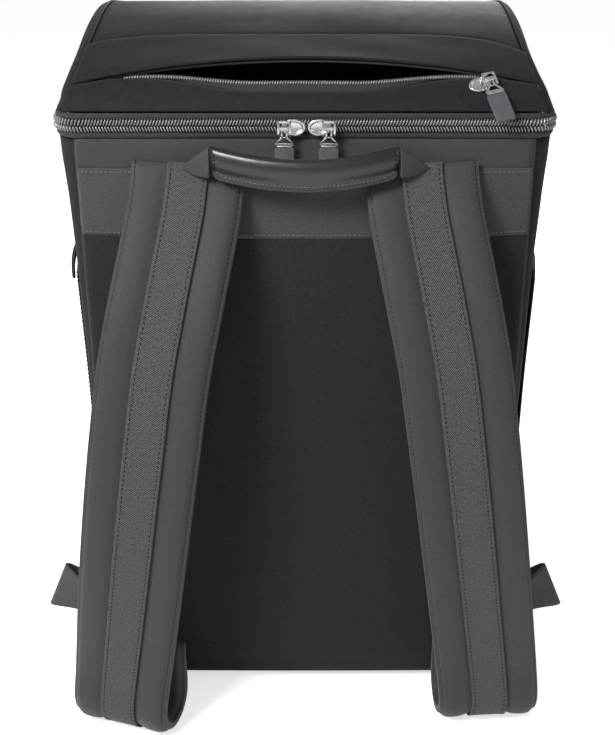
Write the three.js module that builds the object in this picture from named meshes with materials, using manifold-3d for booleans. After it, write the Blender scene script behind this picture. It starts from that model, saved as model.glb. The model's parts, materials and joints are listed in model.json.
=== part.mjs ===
// Cooler backpack standing on its base, as separate sewn, padded and metal pieces.
// Millimetres, +Z up. The origin is the middle of the base's underside.
// X runs across the wearer's back and Y from the wearer's side (negative) to the front.

import * as THREE from 'three';
import { mergeVertices } from 'three/addons/utils/BufferGeometryUtils.js';
import Module from 'manifold-3d';

const wasm = await Module();
wasm.setup();

// Body
const WIDTH = 300;
const DEPTH = 170;
const BODY_HEIGHT = 412;
const WALL = 8;
const CORNER_RADIUS = 16;
const BASE_RADIUS = 8;
const CLEARANCE = 0.3;

// Back panel and the webbing band across it
const PANEL_EDGE = 3;
const PANEL_CROWN = 11;
const PANEL_MARGIN = 9;
const PANEL_RISE = 6;
const WEBBING = 1.2;
const BAND_HEIGHT = 43;
const BAND_DROP = 18;

// Lid and its pocket
const LID_RISE = 45;
const LID_CLOTH = 2;
const LID_CORNER = 24;
const LID_SEAM_INSET = 9;
const LID_SHOULDER = 7;
const LID_FLOOR = 8;
const LID_CROWN = 2;
const LID_SIDE_INSET = 0.5;
const SEAM_DEPTH = 65;
const SEAM_BOW = 4;
const MOUTH_DEPTH = 16.5;
const MOUTH_SLACK = 6;
const LIP_DEPTH = 19;
const LIP_BOW = 11;
const LIP_GAPE = 5;
const POCKET_BULGE = 3;

// Main zip, round the back and both sides
const ZIP_HEIGHT = 16;
const ZIP_END = 140;
const ZIP_TEETH = 8;
const ZIP_BULGE = 3.2;
const ZIP_MEETING_X = 0.9;
const TAPE = 1.5;
const TAPE_TURN_IN = 5;

// Zip sliders, pulls and tabs
const SLIDER_LENGTH = 14.5;
const SLIDER_HEIGHT = 10.2;
const SLIDER_PLATE = 2.2;
const SLIDER_GAP = 1.2;
const BRIDGE_WIDTH = 8.5;
const BRIDGE_HEIGHT = 9.7;
const BRIDGE_BAR = 1.5;
const BRIDGE_OFFSET = 5.6;
const PIN_RADIUS = 0.7;
const PIN_STANDOFF = 5;
const PULL_WIDTH = 11;
const PULL_LENGTH = 11.5;
const PULL_THICKNESS = 1.2;
const TAB_WIDTH = 12;
const TAB_LENGTH = 20;
const TAB_THICKNESS = 2;
const LID_SLIDER_X = 112;
const LID_SLIDER_LEAN = 50;
const LID_SLIDER_TILT = 15;
const LID_SLIDER_LIFT = 4.8;
const LID_ZIP_SPAN = 250;
const LID_ZIP_FROM = 0.06;
const LID_ZIP_TO = 0.35;

// Shoulder straps
const STRAP_WIDTH = 70;
const STRAP_THICKNESS = 12;
const STRAP_LIFT = 53;
const STRAP_UNEVEN = 5;
const STRAP_CURL = 18;
const STRAP_CURL_ASIDE = 0.863;
const STRAP_FLOOR_GAP = 0.2;
const STRAP_WEBBING_WIDTH = 25;
const STRAP_YAW_LEFT = 18;
const STRAP_YAW_RIGHT = 4;
const STRAP_TAIL = 38;
const BUCKLE_WIDTH = 36;
const BUCKLE_HEIGHT = 18;
const BUCKLE_THICKNESS = 4;
const LOOP_REACH = 36;
const LOOP_WIDTH = 28;
const LOOP_HEIGHT = 62;
const LOOP_FOLD = 4;

// Grab handle
const HANDLE_SPAN = 114;
const HANDLE_HEIGHT = 20;
const HANDLE_THICKNESS = 9;
const HANDLE_RISE = 11;
const HANDLE_SAG = 5.5;
const HANDLE_DROP = 10;
const HANDLE_END = 17;
const HANDLE_END_THICKNESS = 2.5;

// Side pockets
const POCKET_HEIGHT = 312;
const POCKET_FOOT = 6;
const POCKET_INSET = 22;
const POCKET_SKIN = 1.5;
const POCKET_BELLY = 8;
const BINDING_HEIGHT = 6;
const BINDING_THICKNESS = 2.5;

// Half width of the body as shares of WIDTH / 2, at shares of BODY_HEIGHT
const BODY_SIDES = [
  { at: 0, value: 0.974 },
  { at: 0.56, value: 0.98 },
  { at: 0.77, value: 0.994 },
  { at: 1, value: 1 },
];

// Height of the lid over the zip as shares of LID_RISE, at shares of DEPTH
const LID_PROFILE = [
  { at: 0, value: 0 },
  { at: 0.05, value: 0.16 },
  { at: 0.106, value: 0.333 },
  { at: 0.176, value: 0.48 },
  { at: 0.27, value: 0.64 },
  { at: 0.382, value: 0.785 },
  { at: 0.48, value: 0.875 },
  { at: 0.588, value: 0.945 },
  { at: 0.765, value: 1 },
  { at: 0.88, value: 0.975 },
  { at: 0.97, value: 0.9 },
  { at: 1, value: 0.85 },
];

// Front leg of a strap, top to floor: height as a share of BODY_HEIGHT, distance from the
// middle as a share of WIDTH / 2, lift off the back as a share of the strap's own lift,
// thickness as a share of STRAP_THICKNESS, and how much of its yaw it has taken up
const STRAP_STATIONS = [
  { height: 0.966, aside: 0.475, lift: 0, thick: 0.25, yaw: 0 },
  { height: 0.942, aside: 0.48, lift: 0.02, thick: 0.5, yaw: 0 },
  { height: 0.898, aside: 0.495, lift: 0.14, thick: 0.85, yaw: 0 },
  { height: 0.837, aside: 0.53, lift: 0.35, thick: 1, yaw: 0 },
  { height: 0.765, aside: 0.573, lift: 0.6, thick: 1, yaw: 0 },
  { height: 0.68, aside: 0.62, lift: 0.79, thick: 1, yaw: 0.05 },
  { height: 0.583, aside: 0.66, lift: 0.94, thick: 1, yaw: 0.1 },
  { height: 0.485, aside: 0.7, lift: 0.99, thick: 1, yaw: 0.2 },
  { height: 0.388, aside: 0.738, lift: 1, thick: 1, yaw: 0.35 },
  { height: 0.291, aside: 0.777, lift: 0.96, thick: 1, yaw: 0.55 },
  { height: 0.194, aside: 0.815, lift: 0.91, thick: 1, yaw: 0.8 },
  { height: 0.117, aside: 0.845, lift: 0.89, thick: 1, yaw: 1 },
];

// Half thickness of a strap's padded lobe, as shares, at shares of the way from the flat
// valley that holds the webbing to the strap's edge
const STRAP_LOBE = [
  { across: 0, thick: 0.66 },
  { across: 0.27, thick: 0.97 },
  { across: 0.6, thick: 1 },
  { across: 0.88, thick: 0.7 },
  { across: 1, thick: 0.2 },
];

// Half thickness of the handle, as shares, up its height: sewn flange below, fold above
const HANDLE_SECTION = [
  { up: 0, thick: 0.25 },
  { up: 0.25, thick: 0.32 },
  { up: 0.42, thick: 0.75 },
  { up: 0.62, thick: 1 },
  { up: 0.82, thick: 0.92 },
  { up: 0.95, thick: 0.6 },
  { up: 1, thick: 0.25 },
];

// Places that follow from the sizes
const BACK = -DEPTH / 2;
const FRONT = DEPTH / 2;
const TUB_BACK = BACK + PANEL_EDGE + CLEARANCE;
const PANEL_HALF = WIDTH / 2 - PANEL_MARGIN;
const LID_BASE = BODY_HEIGHT + ZIP_HEIGHT;
const LID_HALF = WIDTH / 2 - LID_SIDE_INSET;
const LID_SEAM_X = LID_HALF - LID_SEAM_INSET;
const TEETH_MIDDLE = BODY_HEIGHT + ZIP_HEIGHT / 2;
const BAND_TOP = BODY_HEIGHT - BAND_DROP;
const BAND_BOTTOM = BAND_TOP - BAND_HEIGHT;

const vec = (x, y, z) => new THREE.Vector3(x, y, z);
const lerp = THREE.MathUtils.lerp;
const degrees = THREE.MathUtils.degToRad;

// Reads a table of { at, value } rows at a place between its rows.
function read(table, at) {
  const last = table.length - 1;
  const next = Math.min(last, Math.max(1, table.findIndex((row) => row.at >= at)));
  const from = table[next - 1];
  const to = table[next];
  return lerp(from.value, to.value, (at - from.at) / (to.at - from.at));
}

// A closed body from points and triangles, turned so that its faces point out.
function body(points, triangles) {
  const volume = triangles.reduce((sum, [a, b, c]) => {
    return sum + points[a].dot(points[b].clone().cross(points[c]));
  }, 0);
  const outward = volume < 0 ? flipped(triangles) : triangles;
  const geometry = new THREE.BufferGeometry();
  const numbers = points.flatMap((point) => point.toArray());
  geometry.setAttribute('position', new THREE.Float32BufferAttribute(numbers, 3));
  geometry.setIndex(outward.flat());
  geometry.computeVertexNormals();
  return geometry;
}

// Two triangles for each square of a grid of point numbers.
function weave(grid) {
  const triangles = [];
  for (let i = 0; i + 1 < grid.length; i += 1) {
    for (let j = 0; j + 1 < grid[i].length; j += 1) {
      triangles.push([grid[i][j], grid[i + 1][j], grid[i + 1][j + 1]]);
      triangles.push([grid[i][j], grid[i + 1][j + 1], grid[i][j + 1]]);
    }
  }
  return triangles;
}

// The same triangles seen from their other side.
function flipped(triangles) {
  return triangles.map(([a, b, c]) => [a, c, b]);
}

// A sheet with thickness: rows of outer points over rows of inner points, closed at its edges.
function slab(outer, inner) {
  const columns = outer[0].length;
  const points = [...outer.flat(), ...inner.flat()];
  const number = (layer, i, j) => layer * outer.length * columns + i * columns + j;
  const grid = (layer) => outer.map((row, i) => row.map((point, j) => number(layer, i, j)));
  const top = grid(0);
  const under = grid(1);
  const last = columns - 1;
  const rim = [
    ...top[0].map((point, j) => [top[0][j], under[0][j]]),
    ...top.slice(1).map((row, i) => [row[last], under[i + 1][last]]),
    ...top[0].slice(0, last).map((point, j) => [top.at(-1)[last - 1 - j], under.at(-1)[last - 1 - j]]),
    ...top.slice(1, -1).map((row, i) => [top[top.length - 2 - i][0], under[top.length - 2 - i][0]]),
  ];
  return body(points, [...weave(top), ...flipped(weave(under)), ...weave([...rim, rim[0]])]);
}

// Rows of points over a square of shares, for slab.
function rows(across, along, place) {
  return Array.from({ length: across + 1 }, (unusedRow, i) => {
    return Array.from({ length: along + 1 }, (unusedPoint, j) => place(i / across, j / along));
  });
}

// A body lofted through level rings of points, closed at both ends.
function loft(rings) {
  const count = rings[0].length;
  const points = rings.flat();
  const grid = rings.map((ring, i) => [...ring.map((point, j) => i * count + j), i * count]);
  const fan = (start, turn) => {
    return Array.from({ length: count - 2 }, (unused, k) => {
      return turn ? [start, start + k + 2, start + k + 1] : [start, start + k + 1, start + k + 2];
    });
  };
  return body(points, [...weave(grid), ...fan(0, false), ...fan(points.length - count, true)]);
}

// A level ring of points round a rectangle with rounded corners.
function plan(half, back, front, radius, z, steps = 5) {
  const corners = [
    { x: half - radius, y: back + radius, from: -90 },
    { x: half - radius, y: front - radius, from: 0 },
    { x: radius - half, y: front - radius, from: 90 },
    { x: radius - half, y: back + radius, from: 180 },
  ];
  return corners.flatMap((corner) => Array.from({ length: steps + 1 }, (unused, k) => {
    const angle = degrees(corner.from + (90 * k) / steps);
    return vec(corner.x + radius * Math.cos(angle), corner.y + radius * Math.sin(angle), z);
  }));
}

// Stops round three sides of the plan: up one side, across the closed end and down the other.
// Each stop has its place and its outward direction.
function wrap(half, sideStops, closedY, radius, across, steps = 5) {
  const toward = Math.sign(closedY - sideStops[0]);
  const side = sideStops.map((y) => ({ x: -half, y, nx: -1, ny: 0 }));
  const corner = Array.from({ length: steps + 1 }, (unused, k) => {
    const angle = degrees((90 * k) / steps);
    const nx = -Math.cos(angle);
    const ny = toward * Math.sin(angle);
    return { x: radius - half + radius * nx, y: closedY - toward * radius + radius * ny, nx, ny };
  });
  const end = Array.from({ length: across - 1 }, (unused, k) => {
    return { x: lerp(radius - half, half - radius, (k + 1) / across), y: closedY, nx: 0, ny: toward };
  });
  const mirrored = [...side, ...corner].map((stop) => ({ ...stop, x: -stop.x, nx: -stop.nx })).reverse();
  return [...side, ...corner, ...end, ...mirrored];
}

// The point at an outward distance and a height from a stop of wrap.
function beside(stop, outset, z) {
  return vec(stop.x + stop.nx * outset, stop.y + stop.ny * outset, z);
}

// A box with its middle at a place, as a geometry.
function block(size, place) {
  return new THREE.BoxGeometry(size.x, size.y, size.z).translate(place.x, place.y, place.z);
}

// The geometry as a solid that can be joined and cut.
function solidOf(geometry) {
  const bare = geometry.clone();
  bare.deleteAttribute('normal');
  bare.deleteAttribute('uv');
  const merged = mergeVertices(bare, 1e-4);
  return new wasm.Manifold(new wasm.Mesh({
    numProp: 3,
    vertProperties: new Float32Array(merged.attributes.position.array),
    triVerts: new Uint32Array(merged.index.array),
  }));
}

// Several geometries joined into one.
function joined(geometries) {
  const solid = geometries.map(solidOf).reduce((sum, next) => sum.add(next));
  const mesh = solid.getMesh();
  const geometry = new THREE.BufferGeometry();
  geometry.setAttribute('position', new THREE.BufferAttribute(new Float32Array(mesh.vertProperties), 3));
  geometry.setIndex(new THREE.BufferAttribute(new Uint32Array(mesh.triVerts), 1));
  geometry.computeVertexNormals();
  return geometry;
}

const FABRIC = { color: 0x26262a, roughness: 0.9, metalness: 0 };
const PANEL_CLOTH = { color: 0x222328, roughness: 0.95, metalness: 0 };
const STRAP_CLOTH = { color: 0x3a3a3f, roughness: 0.85, metalness: 0 };
const WEB = { color: 0x44444a, roughness: 0.8, metalness: 0 };
const LEATHER = { color: 0x302d2b, roughness: 0.45, metalness: 0 };
const STRETCH = { color: 0x232326, roughness: 0.95, metalness: 0 };
const NYLON_TEETH = { color: 0x1c1c1e, roughness: 0.35, metalness: 0 };
const METAL = { color: 0xd0d0d2, roughness: 0.25, metalness: 1 };
const RUBBER = { color: 0x54585c, roughness: 0.6, metalness: 0 };
const HARD_PLASTIC = { color: 0x1e1e20, roughness: 0.5, metalness: 0 };

const pack = new THREE.Group();

// Adds a named piece to a group.
function add(name, geometry, look, group = pack) {
  const mesh = new THREE.Mesh(geometry, new THREE.MeshStandardMaterial(look));
  mesh.name = name;
  group.add(mesh);
  return mesh;
}

// Body: an open tub with padded walls
function bodyHalf(z) {
  return (WIDTH / 2) * read(BODY_SIDES, z / BODY_HEIGHT);
}

function tub() {
  const outer = (z, inset) => {
    return plan(bodyHalf(z) - inset, TUB_BACK + inset, FRONT - inset, CORNER_RADIUS - inset / 2, z);
  };
  const inner = (z) => plan(bodyHalf(z) - WALL, TUB_BACK + WALL, FRONT - WALL, CORNER_RADIUS - WALL / 2, z);
  const edge = [0, 30, 60, 90].map(degrees).map((turn) => {
    return outer(BASE_RADIUS * (1 - Math.cos(turn)), BASE_RADIUS * (1 - Math.sin(turn)));
  });
  const upright = BODY_SIDES.slice(1).map((row) => outer(row.at * BODY_HEIGHT, 0));
  return loft([...edge, ...upright, inner(BODY_HEIGHT), inner(WALL)]);
}

// Back panel: crowned padding on the wearer's side
function panelDepth(x, z) {
  const acrossShare = x / PANEL_HALF;
  const upShare = (2 * z) / BODY_HEIGHT - 1;
  return PANEL_CROWN * Math.max(0, 1 - acrossShare ** 2) * (1 - upShare ** 4);
}

function backPanel() {
  const place = (depth) => (u, v) => {
    const x = lerp(-PANEL_HALF, PANEL_HALF, u);
    const z = lerp(PANEL_RISE, BODY_HEIGHT - CLEARANCE, v);
    return vec(x, depth(x, z), z);
  };
  const face = place((x, z) => BACK - panelDepth(x, z));
  const rear = place(() => BACK + PANEL_EDGE);
  return slab(rows(14, 14, face), rows(14, 14, rear));
}

function band() {
  const place = (out) => (u, v) => {
    const x = lerp(CLEARANCE - PANEL_HALF, PANEL_HALF - CLEARANCE, u);
    const z = lerp(BAND_BOTTOM, BAND_TOP, v);
    return vec(x, BACK - panelDepth(x, z) - out, z);
  };
  return slab(rows(18, 3, place(CLEARANCE + WEBBING)), rows(18, 3, place(CLEARANCE)));
}

// Side pockets: a stretch skin that bellies off the body, with a binding at its mouth
function pocketSheet(side, inner, outer, from, to, steps) {
  const place = (out) => (u, v) => {
    const z = lerp(from, to, v);
    const rise = Math.min(1, (z - POCKET_FOOT) / (POCKET_HEIGHT / 2));
    const belly = POCKET_BELLY * Math.sin(Math.PI * u) * Math.sin((Math.PI / 2) * rise);
    return vec(side * (bodyHalf(z) + belly + out), lerp(BACK + POCKET_INSET, FRONT - POCKET_INSET, u), z);
  };
  return slab(rows(10, steps, place(outer)), rows(10, steps, place(inner)));
}

function sidePocket(side) {
  const top = POCKET_HEIGHT - CLEARANCE;
  return pocketSheet(side, CLEARANCE, CLEARANCE + POCKET_SKIN, POCKET_FOOT, top, 8);
}

function pocketBinding(side) {
  const top = POCKET_HEIGHT + BINDING_HEIGHT;
  return pocketSheet(side, CLEARANCE, CLEARANCE + BINDING_THICKNESS, POCKET_HEIGHT, top, 1);
}

// Main zip: two tapes and two rows of teeth, swept round the back and both sides
function zipStops() {
  const start = BACK + ZIP_END;
  const corner = BACK + CORNER_RADIUS;
  return wrap(WIDTH / 2, [start, lerp(start, corner, 0.35), lerp(start, corner, 0.7)], BACK, CORNER_RADIUS, 6);
}

function zipSweep(outer, inner) {
  const sweep = (profile) => zipStops().map((stop) => profile.map((point) => beside(stop, point.out, point.z)));
  return slab(sweep(outer), sweep(inner));
}

// A tape with its edge turned in over the body below it, or mirrored under the lid above it.
function zipTape(turn) {
  const level = (distance) => TEETH_MIDDLE + turn * distance;
  const edge = ZIP_HEIGHT / 2 - CLEARANCE;
  const teeth = ZIP_TEETH / 2 + CLEARANCE;
  const middle = (edge + teeth) / 2;
  const outer = [
    { out: 0.4 * TAPE, z: level(edge) },
    { out: TAPE, z: level(middle) },
    { out: 1.2 * TAPE, z: level(teeth) },
  ];
  const inner = [
    { out: -TAPE_TURN_IN, z: level(edge) },
    { out: -TAPE / 2, z: level(edge - TAPE / 2) },
    { out: 0.2 * TAPE, z: level(teeth) },
  ];
  return zipSweep(outer, inner);
}

function zipTeeth(turn) {
  const near = TEETH_MIDDLE + (turn * CLEARANCE) / 2;
  const far = TEETH_MIDDLE + (turn * ZIP_TEETH) / 2;
  const outer = [
    { out: ZIP_BULGE, z: near },
    { out: ZIP_BULGE - TAPE / 2, z: far },
  ];
  return zipSweep(outer, outer.map((point) => ({ out: CLEARANCE, z: point.z })));
}

// Slider, pull and tab in their own frame: X along the zip, -Y out of it, Z up,
// with the origin on the pull's pin
function ellipse(length, height, depth, bevel) {
  const shape = new THREE.Shape();
  shape.absellipse(0, 0, length / 2 - bevel, height / 2 - bevel, 0, 2 * Math.PI, false, 0);
  const bevelled = { depth: depth - 2 * bevel, bevelThickness: bevel, bevelSize: bevel, bevelSegments: 2, curveSegments: 8 };
  return new THREE.ExtrudeGeometry(shape, bevelled).translate(0, 0, bevel).rotateX(Math.PI / 2);
}

function slider(side) {
  const plateBack = PIN_STANDOFF;
  const plateX = -side * BRIDGE_OFFSET;
  const plate = ellipse(SLIDER_LENGTH, SLIDER_HEIGHT, SLIDER_PLATE, 0.6).translate(plateX, plateBack, 0);
  const top = BRIDGE_HEIGHT / 2;
  const bar = block(vec(BRIDGE_WIDTH, BRIDGE_BAR, BRIDGE_BAR), vec(0, 0, top - BRIDGE_BAR / 2));
  const legX = (BRIDGE_WIDTH - BRIDGE_BAR) / 2;
  const legs = [-1, 1].map((end) => block(vec(BRIDGE_BAR, BRIDGE_BAR, BRIDGE_HEIGHT), vec(end * legX, 0, 0)));
  const pin = new THREE.CylinderGeometry(PIN_RADIUS, PIN_RADIUS, BRIDGE_WIDTH - BRIDGE_BAR, 12);
  pin.rotateZ(Math.PI / 2);
  const reach = plateBack - SLIDER_PLATE / 2;
  const post = block(vec(BRIDGE_BAR, reach, BRIDGE_BAR), vec(-side * legX, reach / 2, top - BRIDGE_BAR));
  return joined([plate, bar, ...legs, pin, post]);
}

function pull() {
  const inside = BRIDGE_WIDTH - 2 * BRIDGE_BAR - 2 * CLEARANCE;
  const eyeRadius = 2.4 * PIN_RADIUS;
  const eyeShape = new THREE.Shape().absarc(0, 0, eyeRadius, 0, 2 * Math.PI, false);
  eyeShape.holes.push(new THREE.Path().absarc(0, 0, PIN_RADIUS + CLEARANCE, 0, 2 * Math.PI, true));
  const eye = new THREE.ExtrudeGeometry(eyeShape, { depth: inside, bevelEnabled: false, curveSegments: 10 });
  eye.translate(0, 0, -inside / 2).rotateY(Math.PI / 2);
  const neckTop = -PIN_RADIUS - 1.6 * CLEARANCE;
  const neckEnd = -0.55 * PULL_LENGTH;
  const shape = new THREE.Shape();
  shape.moveTo(-inside / 2, neckTop);
  shape.lineTo(-inside / 2, neckEnd);
  shape.lineTo(-PULL_WIDTH / 2, -0.85 * PULL_LENGTH);
  shape.lineTo(-PULL_WIDTH / 2, -PULL_LENGTH);
  shape.lineTo(PULL_WIDTH / 2, -PULL_LENGTH);
  shape.lineTo(PULL_WIDTH / 2, -0.85 * PULL_LENGTH);
  shape.lineTo(inside / 2, neckEnd);
  shape.lineTo(inside / 2, neckTop);
  const plate = new THREE.ExtrudeGeometry(shape, { depth: PULL_THICKNESS, bevelEnabled: false });
  plate.rotateX(Math.PI / 2).translate(0, PULL_THICKNESS / 2, 0);
  return joined([eye, plate]);
}

function tab() {
  const top = -PULL_LENGTH - CLEARANCE;
  return block(vec(TAB_WIDTH, TAB_THICKNESS, TAB_LENGTH), vec(0, 0, top - TAB_LENGTH / 2));
}

// Adds a slider with its pull and tab, in a frame that the group gives.
function addPuller(name, side, group) {
  add(`slider_${name}`, slider(side), METAL, group);
  add(`pull_${name}`, pull(), METAL, group);
  add(`tab_${name}`, tab(), RUBBER, group);
  pack.add(group);
}

// Lid: a sloping cloth cap, with a flap over an open pocket on the wearer's side
function lidTop(y) {
  return LID_BASE + LID_RISE * read(LID_PROFILE, (y - BACK) / DEPTH);
}

// The half width of the lid's top inside its seam, narrower at the rounded front corners.
function seamHalf(y) {
  const radius = LID_CORNER - LID_SEAM_INSET;
  const reach = radius - 2 * CLEARANCE;
  const past = Math.max(0, y - (FRONT - LID_CORNER));
  return LID_SEAM_X - radius + Math.sqrt(Math.max(0, reach ** 2 - past ** 2));
}

function lidWall() {
  const tread = 1.5;
  const zipEnd = BACK + ZIP_END;
  const stops = [BACK + PANEL_EDGE, BACK + 0.1 * DEPTH, BACK + 0.25 * DEPTH, BACK + 0.4 * DEPTH, 0.1 * DEPTH];
  const side = [...stops, zipEnd + CLEARANCE, zipEnd + CLEARANCE + tread];
  const path = wrap(LID_HALF, side, FRONT, LID_CORNER, 6);
  const foot = (stop) => (stop.y > zipEnd + tread / 2 + CLEARANCE ? BODY_HEIGHT : LID_BASE) + CLEARANCE;
  const turns = [0, 30, 60, 90].map(degrees);
  const outer = path.map((stop) => {
    const top = lidTop(stop.y - stop.ny * LID_SEAM_INSET);
    const shoulder = Math.max(top - LID_SHOULDER, foot(stop) + CLEARANCE);
    const arc = turns.map((turn) => {
      return beside(stop, -LID_SEAM_INSET * (1 - Math.cos(turn)), lerp(shoulder, top, Math.sin(turn)));
    });
    return [beside(stop, 0, foot(stop)), ...arc];
  });
  const inner = path.map((stop, i) => outer[i].map((point, j) => {
    const turn = j === 0 ? 0 : turns[j - 1];
    const inward = LID_CLOTH * Math.cos(turn);
    const down = j === 0 ? 0 : Math.min(LID_CLOTH * Math.sin(turn), point.z - foot(stop));
    return vec(point.x - stop.nx * inward, point.y - stop.ny * inward, point.z - down);
  }));
  return slab(outer, inner);
}

function lidFloor() {
  const half = LID_HALF - LID_CLOTH - CLEARANCE;
  const top = LID_BASE - CLEARANCE - TAPE / 2 - CLEARANCE;
  const back = BACK + PANEL_EDGE;
  const front = FRONT - LID_CLOTH - CLEARANCE;
  return loft([top - LID_FLOOR, top].map((z) => plan(half, back, front, LID_CORNER - LID_CLOTH, z)));
}

// The bowed seam between the top panel and the flap.
function seamLine(x) {
  return BACK + SEAM_DEPTH + SEAM_BOW * (x / LID_SEAM_X) ** 2;
}

// The flap's free lip over the pocket's mouth.
function lipLine(x) {
  return BACK + LIP_DEPTH + LIP_BOW * (1 - (x / LID_SEAM_X) ** 2);
}

function lidTopPanel() {
  const place = (down) => (u, step) => {
    const v = 1 - (1 - step) ** 2;
    const level = lerp(BACK + SEAM_DEPTH, FRONT - LID_SEAM_INSET - 2 * CLEARANCE, v);
    const x = lerp(-1, 1, u) * seamHalf(level);
    const y = level + (seamLine(x) + CLEARANCE - BACK - SEAM_DEPTH) * (1 - v);
    const crown = LID_CROWN * (1 - (x / LID_SEAM_X) ** 2) * Math.sin(Math.PI * v);
    return vec(x, y, lidTop(y) + crown - down);
  };
  return slab(rows(12, 12, place(0)), rows(12, 12, place(LID_CLOTH)));
}

function lidFlap() {
  const place = (down) => (u, v) => {
    const x = lerp(-1, 1, u) * (LID_SEAM_X - CLEARANCE);
    const y = lerp(seamLine(x) - CLEARANCE, lipLine(x), v);
    const gape = LIP_GAPE * (1 - (x / LID_SEAM_X) ** 2) * v ** 2;
    return vec(x, y, lidTop(y) + gape - down);
  };
  return slab(rows(16, 6, place(0)), rows(16, 6, place(LID_CLOTH)));
}

// The lower pocket panel: up from the zip, slack at its upper edge so that the mouth gapes.
function lowerPanelPoint(x, v, down) {
  const y = lerp(BACK + CLEARANCE, BACK + MOUTH_DEPTH, v);
  const slack = MOUTH_SLACK * (1 - (x / LID_SEAM_X) ** 4) * v ** 2;
  const bulge = POCKET_BULGE * Math.sin(Math.PI * v);
  const turn = (Math.PI / 2) * v;
  const z = lidTop(y) + CLEARANCE + bulge - slack;
  return vec(x, y + down * Math.cos(turn), z - down * Math.sin(turn));
}

function lidPocketPanel() {
  const place = (down) => (u, v) => lowerPanelPoint(lerp(-1, 1, u) * (LID_SEAM_X - CLEARANCE), v, down);
  return slab(rows(16, 6, place(0)), rows(16, 6, place(LID_CLOTH)));
}

// The pocket's zip: one tape with its teeth along the lower panel's edge, one under the flap.
function lidZipLower() {
  const half = LID_ZIP_SPAN / 2;
  const place = (down) => (u, v) => {
    const x = lerp(-half, half, u);
    const edge = lowerPanelPoint(x, 1, 0);
    const lipY = lipLine(x);
    const lip = vec(x, lipY, lidTop(lipY) + LIP_GAPE * (1 - (x / LID_SEAM_X) ** 2) - LID_CLOTH);
    const share = lerp(LID_ZIP_FROM, LID_ZIP_TO, v);
    return vec(x, lerp(edge.y, lip.y, share) + CLEARANCE, lerp(edge.z, lip.z, share) - down);
  };
  return slab(rows(16, 1, place(0)), rows(16, 1, place(TAPE)));
}

function lidZipUpper() {
  const half = LID_ZIP_SPAN / 2;
  const place = (down) => (u, v) => {
    const x = lerp(-half, half, u);
    const share = lerp(0.75, 0.95, v);
    const y = lerp(seamLine(x), lipLine(x), share);
    const gape = LIP_GAPE * (1 - (x / LID_SEAM_X) ** 2) * share ** 2;
    return vec(x, y, lidTop(y) + gape - LID_CLOTH - 2 * CLEARANCE - down);
  };
  return slab(rows(16, 1, place(0)), rows(16, 1, place(TAPE)));
}

// Shoulder straps: down in front of the back panel, round a curl at the floor and up again
function strapLift(side) {
  return STRAP_LIFT - side * STRAP_UNEVEN;
}

function strapStops(side) {
  const fullYaw = degrees(side < 0 ? STRAP_YAW_LEFT : STRAP_YAW_RIGHT);
  const front = STRAP_STATIONS.map((row) => {
    const x = side * row.aside * (WIDTH / 2);
    const z = row.height * BODY_HEIGHT;
    const thick = row.thick * STRAP_THICKNESS;
    const out = panelDepth(x, z) + WEBBING + 2 * CLEARANCE + thick / 2 + strapLift(side) * row.lift;
    return { point: vec(x, BACK - out, z), thick, yaw: row.yaw * fullYaw };
  });
  const level = STRAP_CURL + STRAP_THICKNESS / 2 + STRAP_FLOOR_GAP;
  const rearward = vec(-side * Math.sin(fullYaw), Math.cos(fullYaw), 0);
  const start = vec(side * STRAP_CURL_ASIDE * (WIDTH / 2), front.at(-1).point.y, level);
  const middle = start.clone().addScaledVector(rearward, STRAP_CURL);
  const curl = [0, 30, 60, 90, 120, 150, 180].map(degrees).map((turn) => {
    const point = middle.clone().addScaledVector(rearward, -STRAP_CURL * Math.cos(turn));
    point.z -= STRAP_CURL * Math.sin(turn);
    return { point, thick: STRAP_THICKNESS, yaw: fullYaw };
  });
  const tail = [0.5, 1].map((share) => {
    const point = curl.at(-1).point.clone().add(vec(0, 0, share * STRAP_TAIL));
    return { point, thick: STRAP_THICKNESS * lerp(1, 0.5, share), yaw: fullYaw };
  });
  const stops = [...front, ...curl, ...tail];
  return stops.map((stop, i) => {
    const before = stops[Math.max(0, i - 1)].point;
    const after = stops[Math.min(stops.length - 1, i + 1)].point;
    const along = after.clone().sub(before).normalize();
    const across = vec(Math.cos(stop.yaw), side * Math.sin(stop.yaw), 0);
    across.addScaledVector(along, -across.dot(along)).normalize();
    return { ...stop, along, across, out: along.clone().cross(across).normalize() };
  });
}

// The point of a strap's stop at a distance across it and a distance out of it.
function onStrap(stop, across, out) {
  return stop.point.clone().addScaledVector(stop.across, across).addScaledVector(stop.out, out);
}

// The strap's section, as distances across it and half thicknesses, from edge to edge.
function strapSection(thick) {
  const valley = STRAP_WEBBING_WIDTH / 2;
  const lobe = STRAP_LOBE.map((row) => {
    return { across: lerp(valley, STRAP_WIDTH / 2, row.across), half: (row.thick * thick) / 2 };
  });
  return [...lobe.map((row) => ({ ...row, across: -row.across })).reverse(), ...lobe];
}

function strap(side) {
  const face = (turn) => strapStops(side).map((stop) => {
    return strapSection(stop.thick).map((row) => onStrap(stop, row.across, turn * row.half));
  });
  return slab(face(1), face(-1));
}

function strapWebbing(side) {
  const half = STRAP_WEBBING_WIDTH / 2;
  const face = (rise) => strapStops(side).map((stop) => [-half, half].map((across) => {
    return onStrap(stop, across, (STRAP_LOBE[0].thick * stop.thick) / 2 + CLEARANCE + rise);
  }));
  return slab(face(WEBBING), face(0));
}

// The buckle's middle, straight above the end of the strap's tail.
function buckleStop(side) {
  const tail = strapStops(side).at(-1);
  const point = tail.point.clone().add(vec(0, 0, CLEARANCE + BUCKLE_HEIGHT / 2));
  const across = vec(tail.across.x, tail.across.y, 0).normalize();
  return { point, across, out: vec(0, 0, 1).cross(across) };
}

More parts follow.
